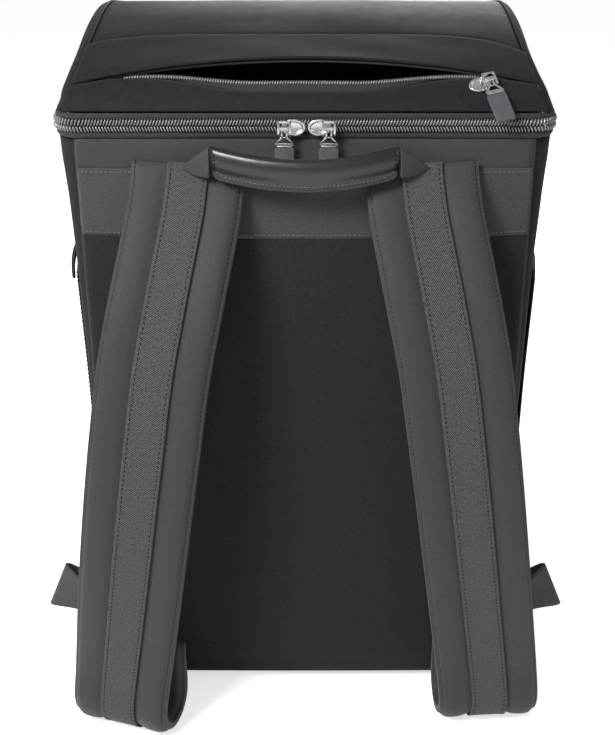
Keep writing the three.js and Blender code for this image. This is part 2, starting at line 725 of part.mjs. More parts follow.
function strapBuckle(side) {
  const stop = buckleStop(side);
  const angle = Math.atan2(stop.across.y, stop.across.x);
  const box = new THREE.BoxGeometry(BUCKLE_WIDTH, BUCKLE_THICKNESS, BUCKLE_HEIGHT);
  return box.rotateZ(angle).translate(stop.point.x, stop.point.y, stop.point.z);
}

// A webbing loop from the buckle out past the body's side and back to the side seam.
function strapLoop(side) {
  const buckle = buckleStop(side);
  const from = onStrap(buckle, side * (BUCKLE_WIDTH / 2 + 2 * CLEARANCE), 0);
  const tip = vec(side * (WIDTH / 2 + LOOP_REACH), BACK, LOOP_HEIGHT + LOOP_WIDTH / 2);
  const seat = side * (bodyHalf(LOOP_HEIGHT) + CLEARANCE + WEBBING);
  const stops = [
    { point: from, tall: BUCKLE_HEIGHT },
    { point: tip.clone().add(vec(-side * LOOP_FOLD, -LOOP_FOLD, 0)), tall: LOOP_WIDTH },
    { point: tip, tall: LOOP_WIDTH },
    { point: tip.clone().add(vec(-side * LOOP_FOLD, LOOP_FOLD, -LOOP_FOLD / 2)), tall: LOOP_WIDTH },
    { point: vec(seat, BACK + CORNER_RADIUS + CLEARANCE, LOOP_HEIGHT), tall: LOOP_WIDTH },
  ];
  const face = (turn) => stops.map((stop, i) => {
    const before = stops[Math.max(0, i - 1)].point;
    const after = stops[Math.min(stops.length - 1, i + 1)].point;
    const heading = Math.atan2(after.y - before.y, after.x - before.x);
    const push = vec(-Math.sin(heading), Math.cos(heading), 0).multiplyScalar((turn * WEBBING) / 2);
    return [-0.5, 0.5].map((up) => stop.point.clone().add(push).add(vec(0, 0, up * stop.tall)));
  });
  return slab(face(1), face(-1));
}

// Grab handle: a folded grip that stands off the straps' sewn tops, with a fabric end each side
function strapFace(side, row) {
  const x = row.aside * (WIDTH / 2);
  const lifted = row.thick * STRAP_THICKNESS + strapLift(side) * row.lift;
  return panelDepth(x, row.height * BODY_HEIGHT) + WEBBING + 2 * CLEARANCE + lifted;
}

function handleCentre(x) {
  const arch = 1 - (x / (HANDLE_SPAN / 2)) ** 2;
  const seat = strapFace(-1, STRAP_STATIONS[1]) + CLEARANCE + HANDLE_THICKNESS / 2;
  return vec(x, BACK - seat - HANDLE_RISE * arch, BODY_HEIGHT - HANDLE_DROP - HANDLE_SAG * arch);
}

function handleGrip() {
  const face = (turn) => rows(14, HANDLE_SECTION.length - 1, (u, v) => {
    const row = HANDLE_SECTION[Math.round(v * (HANDLE_SECTION.length - 1))];
    const centre = handleCentre(lerp(-0.5, 0.5, u) * HANDLE_SPAN);
    return centre.add(vec(0, (-turn * row.thick * HANDLE_THICKNESS) / 2, (row.up - 0.5) * HANDLE_HEIGHT));
  });
  return slab(face(1), face(-1));
}

function handleEnd(side) {
  const near = handleCentre((side * HANDLE_SPAN) / 2);
  const out = strapFace(-1, STRAP_STATIONS[0]) + WEBBING + 3 * CLEARANCE + HANDLE_END_THICKNESS / 2;
  const tipX = side * (HANDLE_SPAN / 2 + HANDLE_END);
  const tip = vec(tipX, BACK - out, STRAP_STATIONS[0].height * BODY_HEIGHT);
  const face = (turn) => rows(3, 2, (u, v) => {
    const point = near.clone().lerp(tip, u);
    const thick = lerp(HANDLE_THICKNESS / 2, HANDLE_END_THICKNESS, u);
    const tall = lerp(HANDLE_HEIGHT, HANDLE_END_THICKNESS, u);
    point.x += side * CLEARANCE * (1 - u);
    return point.add(vec(0, (-turn * thick) / 2, (v - 0.5) * tall));
  });
  return slab(face(1), face(-1));
}

add('tub', tub(), FABRIC);
add('back_panel', backPanel(), PANEL_CLOTH);
add('band', band(), WEB);
add('zip_tape_lower', zipTape(-1), FABRIC);
add('zip_teeth_lower', zipTeeth(-1), NYLON_TEETH);
add('zip_teeth_upper', zipTeeth(1), NYLON_TEETH);
add('zip_tape_upper', zipTape(1), FABRIC);
add('lid_wall', lidWall(), FABRIC);
add('lid_floor', lidFloor(), FABRIC);
add('lid_top_panel', lidTopPanel(), LEATHER);
add('lid_flap', lidFlap(), FABRIC);
add('lid_pocket_panel', lidPocketPanel(), FABRIC);
add('lid_zip_lower', lidZipLower(), NYLON_TEETH);
add('lid_zip_upper', lidZipUpper(), NYLON_TEETH);
add('handle_grip', handleGrip(), LEATHER);

for (const [name, side] of [['left', -1], ['right', 1]]) {
  add(`side_pocket_${name}`, sidePocket(side), STRETCH);
  add(`pocket_binding_${name}`, pocketBinding(side), STRETCH);
  add(`strap_${name}`, strap(side), STRAP_CLOTH);
  add(`strap_webbing_${name}`, strapWebbing(side), WEB);
  add(`strap_buckle_${name}`, strapBuckle(side), HARD_PLASTIC);
  add(`strap_loop_${name}`, strapLoop(side), WEB);
  add(`handle_end_${name}`, handleEnd(side), FABRIC);
  const puller = new THREE.Group();
  const reach = SLIDER_GAP / 2 + SLIDER_LENGTH / 2 + BRIDGE_OFFSET;
  puller.position.set(ZIP_MEETING_X + side * reach, BACK - ZIP_BULGE - CLEARANCE - PIN_STANDOFF, TEETH_MIDDLE);
  addPuller(name, side, puller);
}

// The lid pocket's puller lies on the slope at the right of the mouth.
const lidPuller = new THREE.Group();
lidPuller.rotation.set(degrees(-LID_SLIDER_LEAN), 0, 0);
lidPuller.rotateY(degrees(-LID_SLIDER_TILT));
const mouthPoint = lowerPanelPoint(LID_SLIDER_X, 1, 0);
const outOfLid = vec(0, -1, 0).applyQuaternion(lidPuller.quaternion);
lidPuller.position.copy(mouthPoint).addScaledVector(outOfLid, PIN_STANDOFF + LID_SLIDER_LIFT);
addPuller('lid', 1, lidPuller);

export default pack;
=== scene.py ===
# %% [markdown]
# # A cooler backpack, dressed in Blender
#
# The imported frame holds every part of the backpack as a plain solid, in metres, standing where it belongs.
# This lesson keeps those places and gives each part its cloth: a padded back, straps with webbing down
# their middle, a zip with real teeth, a leather-like lid and the rows of stitches that hold them together.

import bisect
import json
import math

import bmesh
import bpy
from mathutils import Matrix, Vector, noise

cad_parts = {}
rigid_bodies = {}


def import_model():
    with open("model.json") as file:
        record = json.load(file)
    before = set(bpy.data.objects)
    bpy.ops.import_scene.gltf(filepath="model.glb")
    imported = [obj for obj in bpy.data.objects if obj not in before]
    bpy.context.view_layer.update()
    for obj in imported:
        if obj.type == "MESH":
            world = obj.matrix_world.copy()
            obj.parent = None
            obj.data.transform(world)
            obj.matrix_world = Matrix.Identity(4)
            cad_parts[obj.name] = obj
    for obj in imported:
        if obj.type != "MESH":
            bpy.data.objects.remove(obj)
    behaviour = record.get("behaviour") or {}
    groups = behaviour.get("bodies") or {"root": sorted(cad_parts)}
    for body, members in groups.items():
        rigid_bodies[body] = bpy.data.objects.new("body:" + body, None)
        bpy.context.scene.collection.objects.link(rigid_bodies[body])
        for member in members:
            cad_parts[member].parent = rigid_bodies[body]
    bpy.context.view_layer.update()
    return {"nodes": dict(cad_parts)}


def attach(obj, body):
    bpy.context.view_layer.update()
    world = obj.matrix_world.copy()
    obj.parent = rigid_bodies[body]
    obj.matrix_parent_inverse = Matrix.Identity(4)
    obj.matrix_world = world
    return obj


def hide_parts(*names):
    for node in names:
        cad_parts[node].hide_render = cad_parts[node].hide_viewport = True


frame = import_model()
scene = bpy.context.scene
MM = 0.001
print("solids in the frame:", len(frame["nodes"]))

# %% [markdown]
# ## Camera, floor and light
#
# The photograph looks down on the wearer's side from close by, so the lid spreads and the base narrows.
# A white floor under a white sky gives the even light of a product picture. Both look brighter to the camera
# than the light that they give, so that the black cloth stays black. Five soft lamps shape its roundness.

# %% The camera
CAMERA_PLACE = (0.0015, -0.8105, 0.596)
CAMERA_PITCH = 65
CAMERA_LENS = 58.97

camera = bpy.data.objects.new("camera", bpy.data.cameras.new("camera"))
camera.data.lens = CAMERA_LENS
camera.location = CAMERA_PLACE
camera.rotation_euler = (math.radians(CAMERA_PITCH), 0, 0)
scene.collection.objects.link(camera)
scene.camera = camera
print("camera pitch:", CAMERA_PITCH, "degrees")

# %% The white surroundings
SKY_SEEN = 1.0
SKY_LIGHT = 0.36
FLOOR_SEEN = 0.62
FLOOR_LIGHT = 0.22


def glow(tree, socket, light, seen):
    """Gives a socket one strength for the light it sheds and another for what the camera sees."""
    ray = tree.nodes.new("ShaderNodeLightPath")
    strength = tree.nodes.new("ShaderNodeMapRange")
    strength.inputs["To Min"].default_value = light
    strength.inputs["To Max"].default_value = seen
    tree.links.new(ray.outputs["Is Camera Ray"], strength.inputs["Value"])
    tree.links.new(strength.outputs["Result"], socket)


world = bpy.data.worlds.new("white_sky")
world.use_nodes = True
sky = world.node_tree.nodes["Background"]
sky.inputs["Color"].default_value = (1, 1, 1, 1)
glow(world.node_tree, sky.inputs["Strength"], SKY_LIGHT, SKY_SEEN)
scene.world = world
scene.view_settings.view_transform = "Standard"

floor_mesh = bmesh.new()
bmesh.ops.create_grid(floor_mesh, x_segments=1, y_segments=1, size=4)
floor_data = bpy.data.meshes.new("floor")
floor_mesh.to_mesh(floor_data)
floor_mesh.free()
floor = bpy.data.objects.new("floor", floor_data)
floor_paint = bpy.data.materials.new("floor_paint")
floor_paint.use_nodes = True
floor_shader = floor_paint.node_tree.nodes["Principled BSDF"]
floor_shader.inputs["Base Color"].default_value = (0.95, 0.95, 0.95, 1)
floor_shader.inputs["Roughness"].default_value = 0.8
floor_shader.inputs["Emission Color"].default_value = (1, 1, 1, 1)
glow(floor_paint.node_tree, floor_shader.inputs["Emission Strength"], FLOOR_LIGHT, FLOOR_SEEN)
floor_data.materials.append(floor_paint)
scene.collection.objects.link(floor)


# %% Soft lamps
def soft_lamp(name, place, target, size, power):
    """A square area lamp that faces a target point."""
    lamp = bpy.data.lights.new(name, "AREA")
    lamp.size = size
    lamp.energy = power
    holder = bpy.data.objects.new(name, lamp)
    holder.location = place
    holder.rotation_euler = (Vector(target) - Vector(place)).to_track_quat("-Z", "Y").to_euler()
    scene.collection.objects.link(holder)


soft_lamp("key", (-0.58, -0.78, 1.12), (0.02, -0.1, 0.42), 0.42, 20)
soft_lamp("left", (-1.4, -0.6, 0.9), (0, 0, 0.4), 0.6, 2.5)
soft_lamp("right", (1.4, -0.7, 1.0), (0, 0, 0.4), 0.6, 2.5)
soft_lamp("front", (-0.1, -1.8, 1.1), (0, 0, 0.4), 0.8, 1.5)
soft_lamp("rear", (0.2, 1.6, 0.8), (0, 0, 0.25), 0.9, 15)
print("lamps:", len(bpy.data.lights))

# %% [markdown]
# ## Tools for cloth
#
# Almost every sewn part is a sheet that follows some shape. So one helper makes a flat grid, notes each
# corner's place on the flat cloth in a UV map measured in metres, and then carries the grid's points onto
# the shape. The UV map keeps every weave at its true scale, however the cloth bends.


# %% Reading a table of values smoothly
def smooth_read(keys, values, at):
    """The value at a place between the keys, on one smooth curve through all of them."""
    last = len(keys) - 1
    low = max(0, min(last - 1, bisect.bisect_right(keys, at) - 1))

    def slope(k):
        before, after = max(0, k - 1), min(last, k + 1)
        return (values[after] - values[before]) / (keys[after] - keys[before])

    width = keys[low + 1] - keys[low]
    t = (at - keys[low]) / width
    start = values[low] * (1 + 2 * t) * (1 - t) ** 2 + slope(low) * width * t * (1 - t) ** 2
    end = values[low + 1] * t * t * (3 - 2 * t) - slope(low + 1) * width * t * t * (1 - t)
    return start + end


def lerp(a, b, share):
    return a + (b - a) * share


def clamp(share):
    return max(0, min(1, share))


def ripple(point, size, height):
    """A small push for cloth that is never quite flat, from a point in millimetres."""
    return height * noise.noise(Vector(point) / size)


# %% From a flat grid to a piece of cloth
def shaped_grid(columns, rows, place, size):
    """A grid whose points go to place(u, v), in millimetres; size is the flat cloth's, in metres."""
    mesh = bmesh.new()
    bmesh.ops.create_grid(mesh, x_segments=columns, y_segments=rows, size=0.5)
    uv = mesh.loops.layers.uv.new("cloth")
    for face in mesh.faces:
        for loop in face.loops:
            flat = loop.vert.co
            loop[uv].uv = ((flat.x + 0.5) * size[0], (flat.y + 0.5) * size[1])
    for vert in mesh.verts:
        vert.co = Vector(place(vert.co.x + 0.5, vert.co.y + 0.5)) * MM
    return mesh


def face_away(mesh, inside=(0, 0, 0.25)):
    """Turns an open sheet so that its faces look away from a point inside the backpack."""
    middle = Vector(inside)
    facing = sum(f.normal.dot(f.calc_center_median() - middle) * f.calc_area() for f in mesh.faces)
    if facing < 0:
        bmesh.ops.reverse_faces(mesh, faces=mesh.faces)


def close_up(mesh):
    """Joins the doubles of a wrapped grid and turns the closed form's faces outwards."""
    bmesh.ops.remove_doubles(mesh, verts=mesh.verts, dist=0.00001)
    rims = [edge for edge in mesh.edges if edge.is_boundary]
    if rims:
        bmesh.ops.holes_fill(mesh, edges=rims)
    bmesh.ops.recalc_face_normals(mesh, faces=mesh.faces)


def make_piece(name, mesh, material, body="pack", replaces=(), smooth=True):
    """Turns a bmesh into a piece that rides on a body and stands for some solids."""
    mesh.normal_update()
    data = bpy.data.meshes.new(name)
    mesh.to_mesh(data)
    mesh.free()
    data.materials.append(material)
    for polygon in data.polygons:
        polygon.use_smooth = smooth
    piece = bpy.data.objects.new(name, data)
    scene.collection.objects.link(piece)
    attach(piece, body)
    if replaces:
        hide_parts(*replaces)
    return piece


def thicken(piece, thickness, offset=-1):
    """Gives a sheet its thickness, behind its face unless offset says otherwise."""
    solid = piece.modifiers.new("thickness", "SOLIDIFY")
    solid.thickness = thickness * MM
    solid.offset = offset
    return piece


def soften(piece):
    """Rounds a piece by one step of subdivision."""
    rounder = piece.modifiers.new("rounding", "SUBSURF")
    rounder.levels = 1
    rounder.render_levels = 1


def round_edges(mesh, edges, width, segments, clamp_overlap=False):
    """Bevels some edges of a mesh; width is in millimetres."""
    bmesh.ops.bevel(
        mesh, geom=edges, offset=width * MM, segments=segments, profile=0.5, affect="EDGES", material=-1,
        clamp_overlap=clamp_overlap,
    )


def cloth_piece(name, grid, place, size, finish, thickness, node=None, inside=(0, 0, 0.25), offset=-1):
    """A sewn sheet: a grid of columns and rows carried to place(u, v), turned outwards and thickened."""
    mesh = shaped_grid(*grid, place, size)
    face_away(mesh, inside)
    piece = make_piece(name, mesh, finish, replaces=[node] if node else ())
    return thicken(piece, thickness, offset)


# %% [markdown]
# ## Finishes
#
# Black goods still differ: plain lining cloth, brushed neoprene-like straps, ribbed webbing, stretch knit,
# grained leather-like sheet, nylon teeth, nickel and rubber. Each finish mixes two close tones with noise,
# and takes its weave or grain from waves at the real thread spacing, which also set its bump.


# %% Node helpers
class Tree:
    """A material's nodes, with short calls for the ones used here."""

    def __init__(self, name, roughness, specular, sheen=0):
        self.material = bpy.data.materials.new(name)
        self.material.use_nodes = True
        self.nodes = self.material.node_tree.nodes
        self.links = self.material.node_tree.links
        self.shader = self.nodes["Principled BSDF"]
        self.shader.inputs["Roughness"].default_value = roughness
        self.shader.inputs["Specular IOR Level"].default_value = specular
        self.shader.inputs["Sheen Weight"].default_value = sheen
        self.place = self.nodes.new("ShaderNodeTexCoord").outputs["Object"]
        cloth = self.nodes.new("ShaderNodeUVMap")
        cloth.uv_map = "cloth"
        self.cloth = cloth.outputs["UV"]

    def math(self, operation, *values):
        node = self.nodes.new("ShaderNodeMath")
        node.operation = operation
        for socket, value in zip(node.inputs, values):
            if isinstance(value, (int, float)):
                socket.default_value = value
            else:
                self.links.new(value, socket)
        return node.outputs[0]

    def wave(self, vector, pitch, direction, distortion=0.0):
        """Even waves; pitch is the distance from thread to thread, in metres."""
        node = self.nodes.new("ShaderNodeTexWave")
        node.bands_direction = direction
        # At scale 1 Blender's waves repeat in 0.3142 along an axis and in twice that on the diagonal
        period = 0.6283 if direction == "DIAGONAL" else 0.3142
        node.inputs["Scale"].default_value = period / pitch
        node.inputs["Distortion"].default_value = distortion
        self.links.new(vector, node.inputs["Vector"])
        return node.outputs["Fac"]

    def noise(self, vector, size, detail=2.0):
        """Noise with blots of about that size, in metres."""
        node = self.nodes.new("ShaderNodeTexNoise")
        node.inputs["Scale"].default_value = 1 / size
        node.inputs["Detail"].default_value = detail
        self.links.new(vector, node.inputs["Vector"])
        return node.outputs["Fac"]

    def colour(self, factor, dark, light, low=0.3, high=0.7):
        """Sets the colour between two tones, by a pattern."""
        ramp = self.nodes.new("ShaderNodeValToRGB")
        for stop, position, tone in zip(ramp.color_ramp.elements, (low, high), (dark, light)):
            stop.position = position
            stop.color = (*tone, 1)
        self.links.new(factor, ramp.inputs["Fac"])
        self.links.new(ramp.outputs["Color"], self.shader.inputs["Base Color"])

    def roughness(self, factor, low, high):
        """Sets the roughness between two values, by a pattern."""
        reach = self.nodes.new("ShaderNodeMapRange")
        reach.inputs["To Min"].default_value = low
        reach.inputs["To Max"].default_value = high
        self.links.new(factor, reach.inputs["Value"])
        self.links.new(reach.outputs["Result"], self.shader.inputs["Roughness"])

    def bump(self, height, depth, strength):
        """Adds relief of that depth, in metres, over any bump already there."""
        node = self.nodes.new("ShaderNodeBump")
        node.inputs["Distance"].default_value = depth
        node.inputs["Strength"].default_value = strength
        self.links.new(height, node.inputs["Height"])
        before = self.shader.inputs["Normal"].links
        if before:
            self.links.new(before[0].from_socket, node.inputs["Normal"])
        self.links.new(node.outputs["Normal"], self.shader.inputs["Normal"])

    def paler_above(self, low, high, extra):
        """Adds painted light, an extra colour, from one height to another and above, in metres."""
        height = self.nodes.new("ShaderNodeSeparateXYZ")
        share = self.nodes.new("ShaderNodeMapRange")
        share.inputs["From Min"].default_value = low
        share.inputs["From Max"].default_value = high
        tint = self.nodes.new("ShaderNodeMix")
        tint.data_type = "RGBA"
        tint.blend_type = "ADD"
        tint.inputs["B"].default_value = (*extra, 1)
        base = self.shader.inputs["Base Color"]
        self.links.new(self.place, height.inputs["Vector"])
        self.links.new(height.outputs["Z"], share.inputs["Value"])
        self.links.new(share.outputs["Result"], tint.inputs["Factor"])
        self.links.new(base.links[0].from_socket, tint.inputs["A"])
        self.links.new(tint.outputs["Result"], base)


# %% Woven and knitted finishes
def woven(name, dark, light, pitch, roughness, specular, sheen):
    """Plain cloth: two sets of threads that cross, with slubs and slight colour changes."""
    tree = Tree(name, roughness, specular, sheen)
    threads = tree.math("MULTIPLY", tree.wave(tree.cloth, pitch, "X"), tree.wave(tree.cloth, pitch, "Y"))
    tone = tree.math("MULTIPLY_ADD", threads, 0.35, tree.noise(tree.place, 0.004, 3))
    tree.colour(tone, dark, light, 0.35, 0.95)
    tree.bump(tree.noise(tree.place, 0.012, 2), 0.0003, 0.2)
    tree.bump(threads, 0.00012, 0.7)
    return tree.material


def ribbed(name, dark, light, pitch, roughness, specular, sheen, depth, lean="DIAGONAL"):
    """Webbing or knit: ribs that lean across the band, broken into short floats by fine threads."""
    tree = Tree(name, roughness, specular, sheen)
    ribs = tree.wave(tree.cloth, pitch, lean, 0.5)
    fine = tree.math("MULTIPLY", tree.wave(tree.cloth, pitch * 0.45, "X", 0.4), 0.25)
    weave = tree.math("MULTIPLY_ADD", ribs, 0.75, fine)
    speckle = tree.noise(tree.cloth, pitch * 0.9, 3)
    tone = tree.math("MULTIPLY_ADD", speckle, 0.5, tree.math("MULTIPLY", weave, 0.5))
    tree.colour(tone, dark, light, 0.25, 0.8)
    tree.bump(weave, pitch * depth, 0.8)
    return tree.material


def brushed(name, dark, light, size, roughness, specular, sheen, paler=None):
    """Smooth stretch cloth over foam: no threads show, only a faint nap and soft dents."""
    tree = Tree(name, roughness, specular, sheen)
    tree.colour(tree.noise(tree.place, size, 5), dark, light, 0.3, 0.75)
    # A lighter top, when given, is painted light added over the cloth's own colour
    if paler:
        tree.paler_above(*paler)
    tree.bump(tree.noise(tree.place, 0.02, 2), 0.0012, 0.3)
    tree.bump(tree.noise(tree.place, 0.0009, 2), 0.0001, 0.5)
    return tree.material


def grey(value, blue):
    """A dark grey, a little cooler by its extra blue."""
    return value, value, value + blue


# Painted light: the strip of the back above the band faces the sky more, so from 390 to 396 mm up the cloth's
# colour grows lighter
UPPER_STRIP_PAINTED_LIGHT = (0.390, 0.396, grey(0.022, 0.0025))

lining_cloth = woven("lining_cloth", grey(0.010, 0.001), grey(0.019, 0.002), 0.0008, 0.75, 0.15, 0.04)
flap_cloth = woven("flap_cloth", grey(0.0075, 0.0013), grey(0.0145, 0.002), 0.0007, 0.7, 0.12, 0.06)
# The back pad's cloth carries painted light on the strip above the band
panel_cloth = brushed(
    "panel_cloth", grey(0.012, 0.0018), grey(0.021, 0.003), 0.0014, 0.85, 0.12, 0.04, UPPER_STRIP_PAINTED_LIGHT
)
strap_cloth = brushed("strap_cloth", grey(0.027, 0.0025), grey(0.037, 0.003), 0.0016, 0.66, 0.22, 0.1)
webbing = ribbed("webbing", grey(0.010, 0.001), (0.115, 0.116, 0.118), 0.0015, 0.7, 0.2, 0.06, 0.35)
band_twill = ribbed("band_twill", grey(0.010, 0.0005), grey(0.085, 0.003), 0.0013, 0.65, 0.25, 0.08, 0.35)
zip_web = ribbed("zip_web", grey(0.010, 0.001), grey(0.045, 0.002), 0.0011, 0.7, 0.25, 0.05, 0.3)
pocket_knit = ribbed("pocket_knit", grey(0.007, 0.001), grey(0.026, 0.002), 0.0019, 0.9, 0.1, 0.06, 0.25, "Y")


# %% Leather-like sheet, nylon, metal and rubber
def leather_finish(name, dark, light, roughness, specular):
    tree = Tree(name, roughness, specular)
    grain = tree.nodes.new("ShaderNodeTexVoronoi")
    grain.feature = "SMOOTH_F1"
    grain.inputs["Scale"].default_value = 900
    tree.links.new(tree.place, grain.inputs["Vector"])
    tree.colour(tree.noise(tree.place, 0.03, 3), dark, light)
    tree.roughness(tree.noise(tree.place, 0.01, 4), roughness - 0.06, roughness + 0.08)
    tree.bump(tree.noise(tree.place, 0.02, 2), 0.0008, 0.25)
    tree.bump(grain.outputs["Distance"], 0.00012, 0.45)
    return tree.material


def smooth_finish(name, dark, light, roughness, specular, metallic=0.0, size=0.004):
    tree = Tree(name, roughness, specular)
    tree.shader.inputs["Metallic"].default_value = metallic
    tree.colour(tree.noise(tree.place, size, 4), dark, light)
    tree.roughness(tree.noise(tree.place, size * 0.5, 3), roughness * 0.85, roughness * 1.2)
    tree.bump(tree.noise(tree.place, size * 0.3, 2), 0.00004, 0.4)
    return tree.material


lid_leather = leather_finish("lid_leather", (0.010, 0.0095, 0.0088), (0.016, 0.0153, 0.014), 0.58, 0.2)
handle_leather = leather_finish(
    "handle_leather", (0.006, 0.0066, 0.0076), (0.011, 0.0118, 0.0132), 0.33, 0.6
)
nylon = smooth_finish("nylon", grey(0.10, 0.003), grey(0.16, 0.003), 0.24, 1.0)
nickel = smooth_finish("nickel", (0.62, 0.61, 0.59), (0.84, 0.83, 0.81), 0.2, 0.5, 1.0, 0.003)
rubber = smooth_finish("rubber", (0.058, 0.062, 0.068), (0.072, 0.077, 0.083), 0.6, 0.3, 0.0, 0.006)
hard_plastic = smooth_finish("hard_plastic", grey(0.012, 0.001), grey(0.02, 0.001), 0.45, 0.45)
thread = smooth_finish("thread", grey(0.11, 0.004), grey(0.16, 0.006), 0.7, 0.2, 0.0, 0.001)
dark_thread = smooth_finish("dark_thread", grey(0.003, 0.0003), grey(0.007, 0.0005), 0.8, 0.1, 0.0, 0.001)
print("finishes:", len(bpy.data.materials))

# %% [markdown]
# ## The backpack's plan
#
# The body is a box with rounded corners, 300 mm wide, 170 mm deep and 412 mm high, a little narrower at
# its foot. Tapes, teeth and lid all run round that plan, so one helper walks along it from the middle of
# the back and says where it is and which way is out.

# %% Sizes shared by many pieces, in millimetres
SIDES = (("left", -1), ("right", 1))
WIDTH = 300
DEPTH = 170
BODY_HEIGHT = 412
BACK = -DEPTH / 2
FRONT = DEPTH / 2
CORNER_RADIUS = 16
CLEARANCE = 0.3
WEBBING = 1.2
ZIP_FLARE = 2.6
FLARE_START = 318
FLARE_RISE = 80
BODY_SIDES = ([0, 0.56, 0.77, 1], [0.974, 0.98, 0.994, 1])


def body_half(z):
    return WIDTH / 2 * smooth_read(*BODY_SIDES, clamp(z / BODY_HEIGHT))


def flare(z):
    """The cloth swells a little past the plan towards the zip."""
    return ZIP_FLARE * clamp((z - FLARE_START) / FLARE_RISE) ** 1.5


# %% Walking round the plan
def plan_length(half, back, front, radius):
    return 4 * (half - radius) + 2 * (front - back - 2 * radius) + 2 * math.pi * radius


def plan_point(distance, half, back, front, radius):
    """Place and outward direction at a distance from the middle of the back, to either side."""
    side = 1 if distance >= 0 else -1
    left = abs(distance)
    flat = half - radius
    deep = front - back - 2 * radius
    quarter = math.pi * radius / 2
    if left <= flat:
        return Vector((side * left, back, 0)), Vector((0, -1, 0))
    left -= flat
    if left <= quarter:
        out = Vector((side * math.sin(left / radius), -math.cos(left / radius), 0))
        return Vector((side * flat, back + radius, 0)) + out * radius, out
    left -= quarter
    if left <= deep:
        return Vector((side * half, back + radius + left, 0)), Vector((side, 0, 0))
    left -= deep
    if left <= quarter:
        out = Vector((side * math.cos(left / radius), math.sin(left / radius), 0))
        return Vector((side * flat, front - radius, 0)) + out * radius, out
    return Vector((side * (flat - (left - quarter)), front, 0)), Vector((0, 1, 0))


print("way round the body:", round(plan_length(WIDTH / 2, BACK, FRONT, CORNER_RADIUS)), "mm")

# %% [markdown]
# ## Body
#
# The tub is one tall wall of foam-backed cloth that rolls under at the base. A grid is wrapped round the
# plan, its foot is rounded in, the base is filled, and the wall gets its 8 mm of padding inwards.

# %% The body's cloth
TUB_BACK = BACK + 3.3
BASE_RADIUS = 8
BASE_TURN_IN = 20
BODY_CORNER = 12
WALL = 8


def body_profile(distance):
    """How far in and how high the wall is, at a distance up from under the base."""
    if distance < BASE_TURN_IN:
        return BASE_RADIUS + BASE_TURN_IN - distance, 0
    turn = (distance - BASE_TURN_IN) / BASE_RADIUS
    if turn < math.pi / 2:
        return BASE_RADIUS * (1 - math.sin(turn)), BASE_RADIUS * (1 - math.cos(turn))
    return 0, distance - BASE_TURN_IN - BASE_RADIUS * math.pi / 2 + BASE_RADIUS


BODY_ROUND = plan_length(WIDTH / 2, TUB_BACK, FRONT, CORNER_RADIUS)
BODY_UP = BODY_HEIGHT - BASE_RADIUS + BASE_RADIUS * math.pi / 2 + BASE_TURN_IN


def body_place(u, v):
    inset, z = body_profile(v * BODY_UP)
    shape = (body_half(z) + flare(z) - inset, TUB_BACK + inset, FRONT - inset, BODY_CORNER - inset * 0.4)
    point, out = plan_point((u - 0.5) * plan_length(*shape), *shape)
    sag = ripple(point + Vector((0, 0, z)), 70, 1.1) - 0.9 if inset == 0 and out.y > -0.5 else 0
    return point + out * sag * min(1, (BODY_HEIGHT - z) / 40) + Vector((0, 0, z))


body_mesh = shaped_grid(216, 86, body_place, (BODY_ROUND * MM, BODY_UP * MM))
bmesh.ops.remove_doubles(body_mesh, verts=body_mesh.verts, dist=0.00001)
base_rim = [e for e in body_mesh.edges if e.is_boundary and e.verts[0].co.z < 0.05]
bmesh.ops.holes_fill(body_mesh, edges=base_rim)
face_away(body_mesh)
body_cloth = make_piece("body_cloth", body_mesh, lining_cloth, replaces=["tub"])
thicken(body_cloth, WALL)
print("body cloth faces:", len(body_cloth.data.polygons))

# %% [markdown]
# ## Padded back
#
# A crowned pad lies on the wearer's back. It is a grid pushed out by the crown, rolled in at its seams,
# and then blown up a little by Blender's cloth with its seams held, so that it swells like foam.

# %% Blowing a pad up with cloth
CLOTH_FRAMES = 10
CLOTH_STIFFNESS = 18


def inflate(piece, held, pressure, limit):
    """Lets pressure swell a piece while some points are held, and keeps that shape up to a limit in mm."""
    group = piece.vertex_groups.new(name="held")
    group.add(held, 1.0, "REPLACE")
    cloth = piece.modifiers.new("swell", "CLOTH")
    cloth.settings.quality = 4
    cloth.settings.mass = 0.25
    cloth.settings.tension_stiffness = CLOTH_STIFFNESS
    cloth.settings.compression_stiffness = CLOTH_STIFFNESS
    cloth.settings.bending_stiffness = 0.6
    cloth.settings.vertex_group_mass = "held"
    cloth.settings.use_pressure = True
    cloth.settings.uniform_pressure_force = pressure
    cloth.settings.effector_weights.gravity = 0
    cloth.collision_settings.use_collision = False
    for step in range(1, CLOTH_FRAMES + 1):
        scene.frame_set(step)
    shown = piece.evaluated_get(bpy.context.evaluated_depsgraph_get()).data
    most = 0
    moved = [v.co.copy() for v in shown.vertices]
    for vert, goal in zip(piece.data.vertices, moved):
        push = goal - vert.co
        push *= min(1, limit * MM / max(push.length, 1e-9))
        most = max(most, push.length)
        vert.co += push
    piece.modifiers.remove(cloth)
    piece.vertex_groups.clear()
    scene.frame_set(1)
    return most


# %% The back pad
PANEL_HALF = WIDTH / 2 - 9
PANEL_CROWN = 11
PANEL_RISE = 6
PANEL_ROLL = 5
PANEL_EDGE = 3
BAND_TOP = BODY_HEIGHT - 18
BAND_BOTTOM = BAND_TOP - 43


def panel_depth(x, z):
    """How far the pad's crown stands off the plane of the back."""
    across = max(0, 1 - (x / PANEL_HALF) ** 2)
    return PANEL_CROWN * across * (1 - (2 * z / BODY_HEIGHT - 1) ** 4)


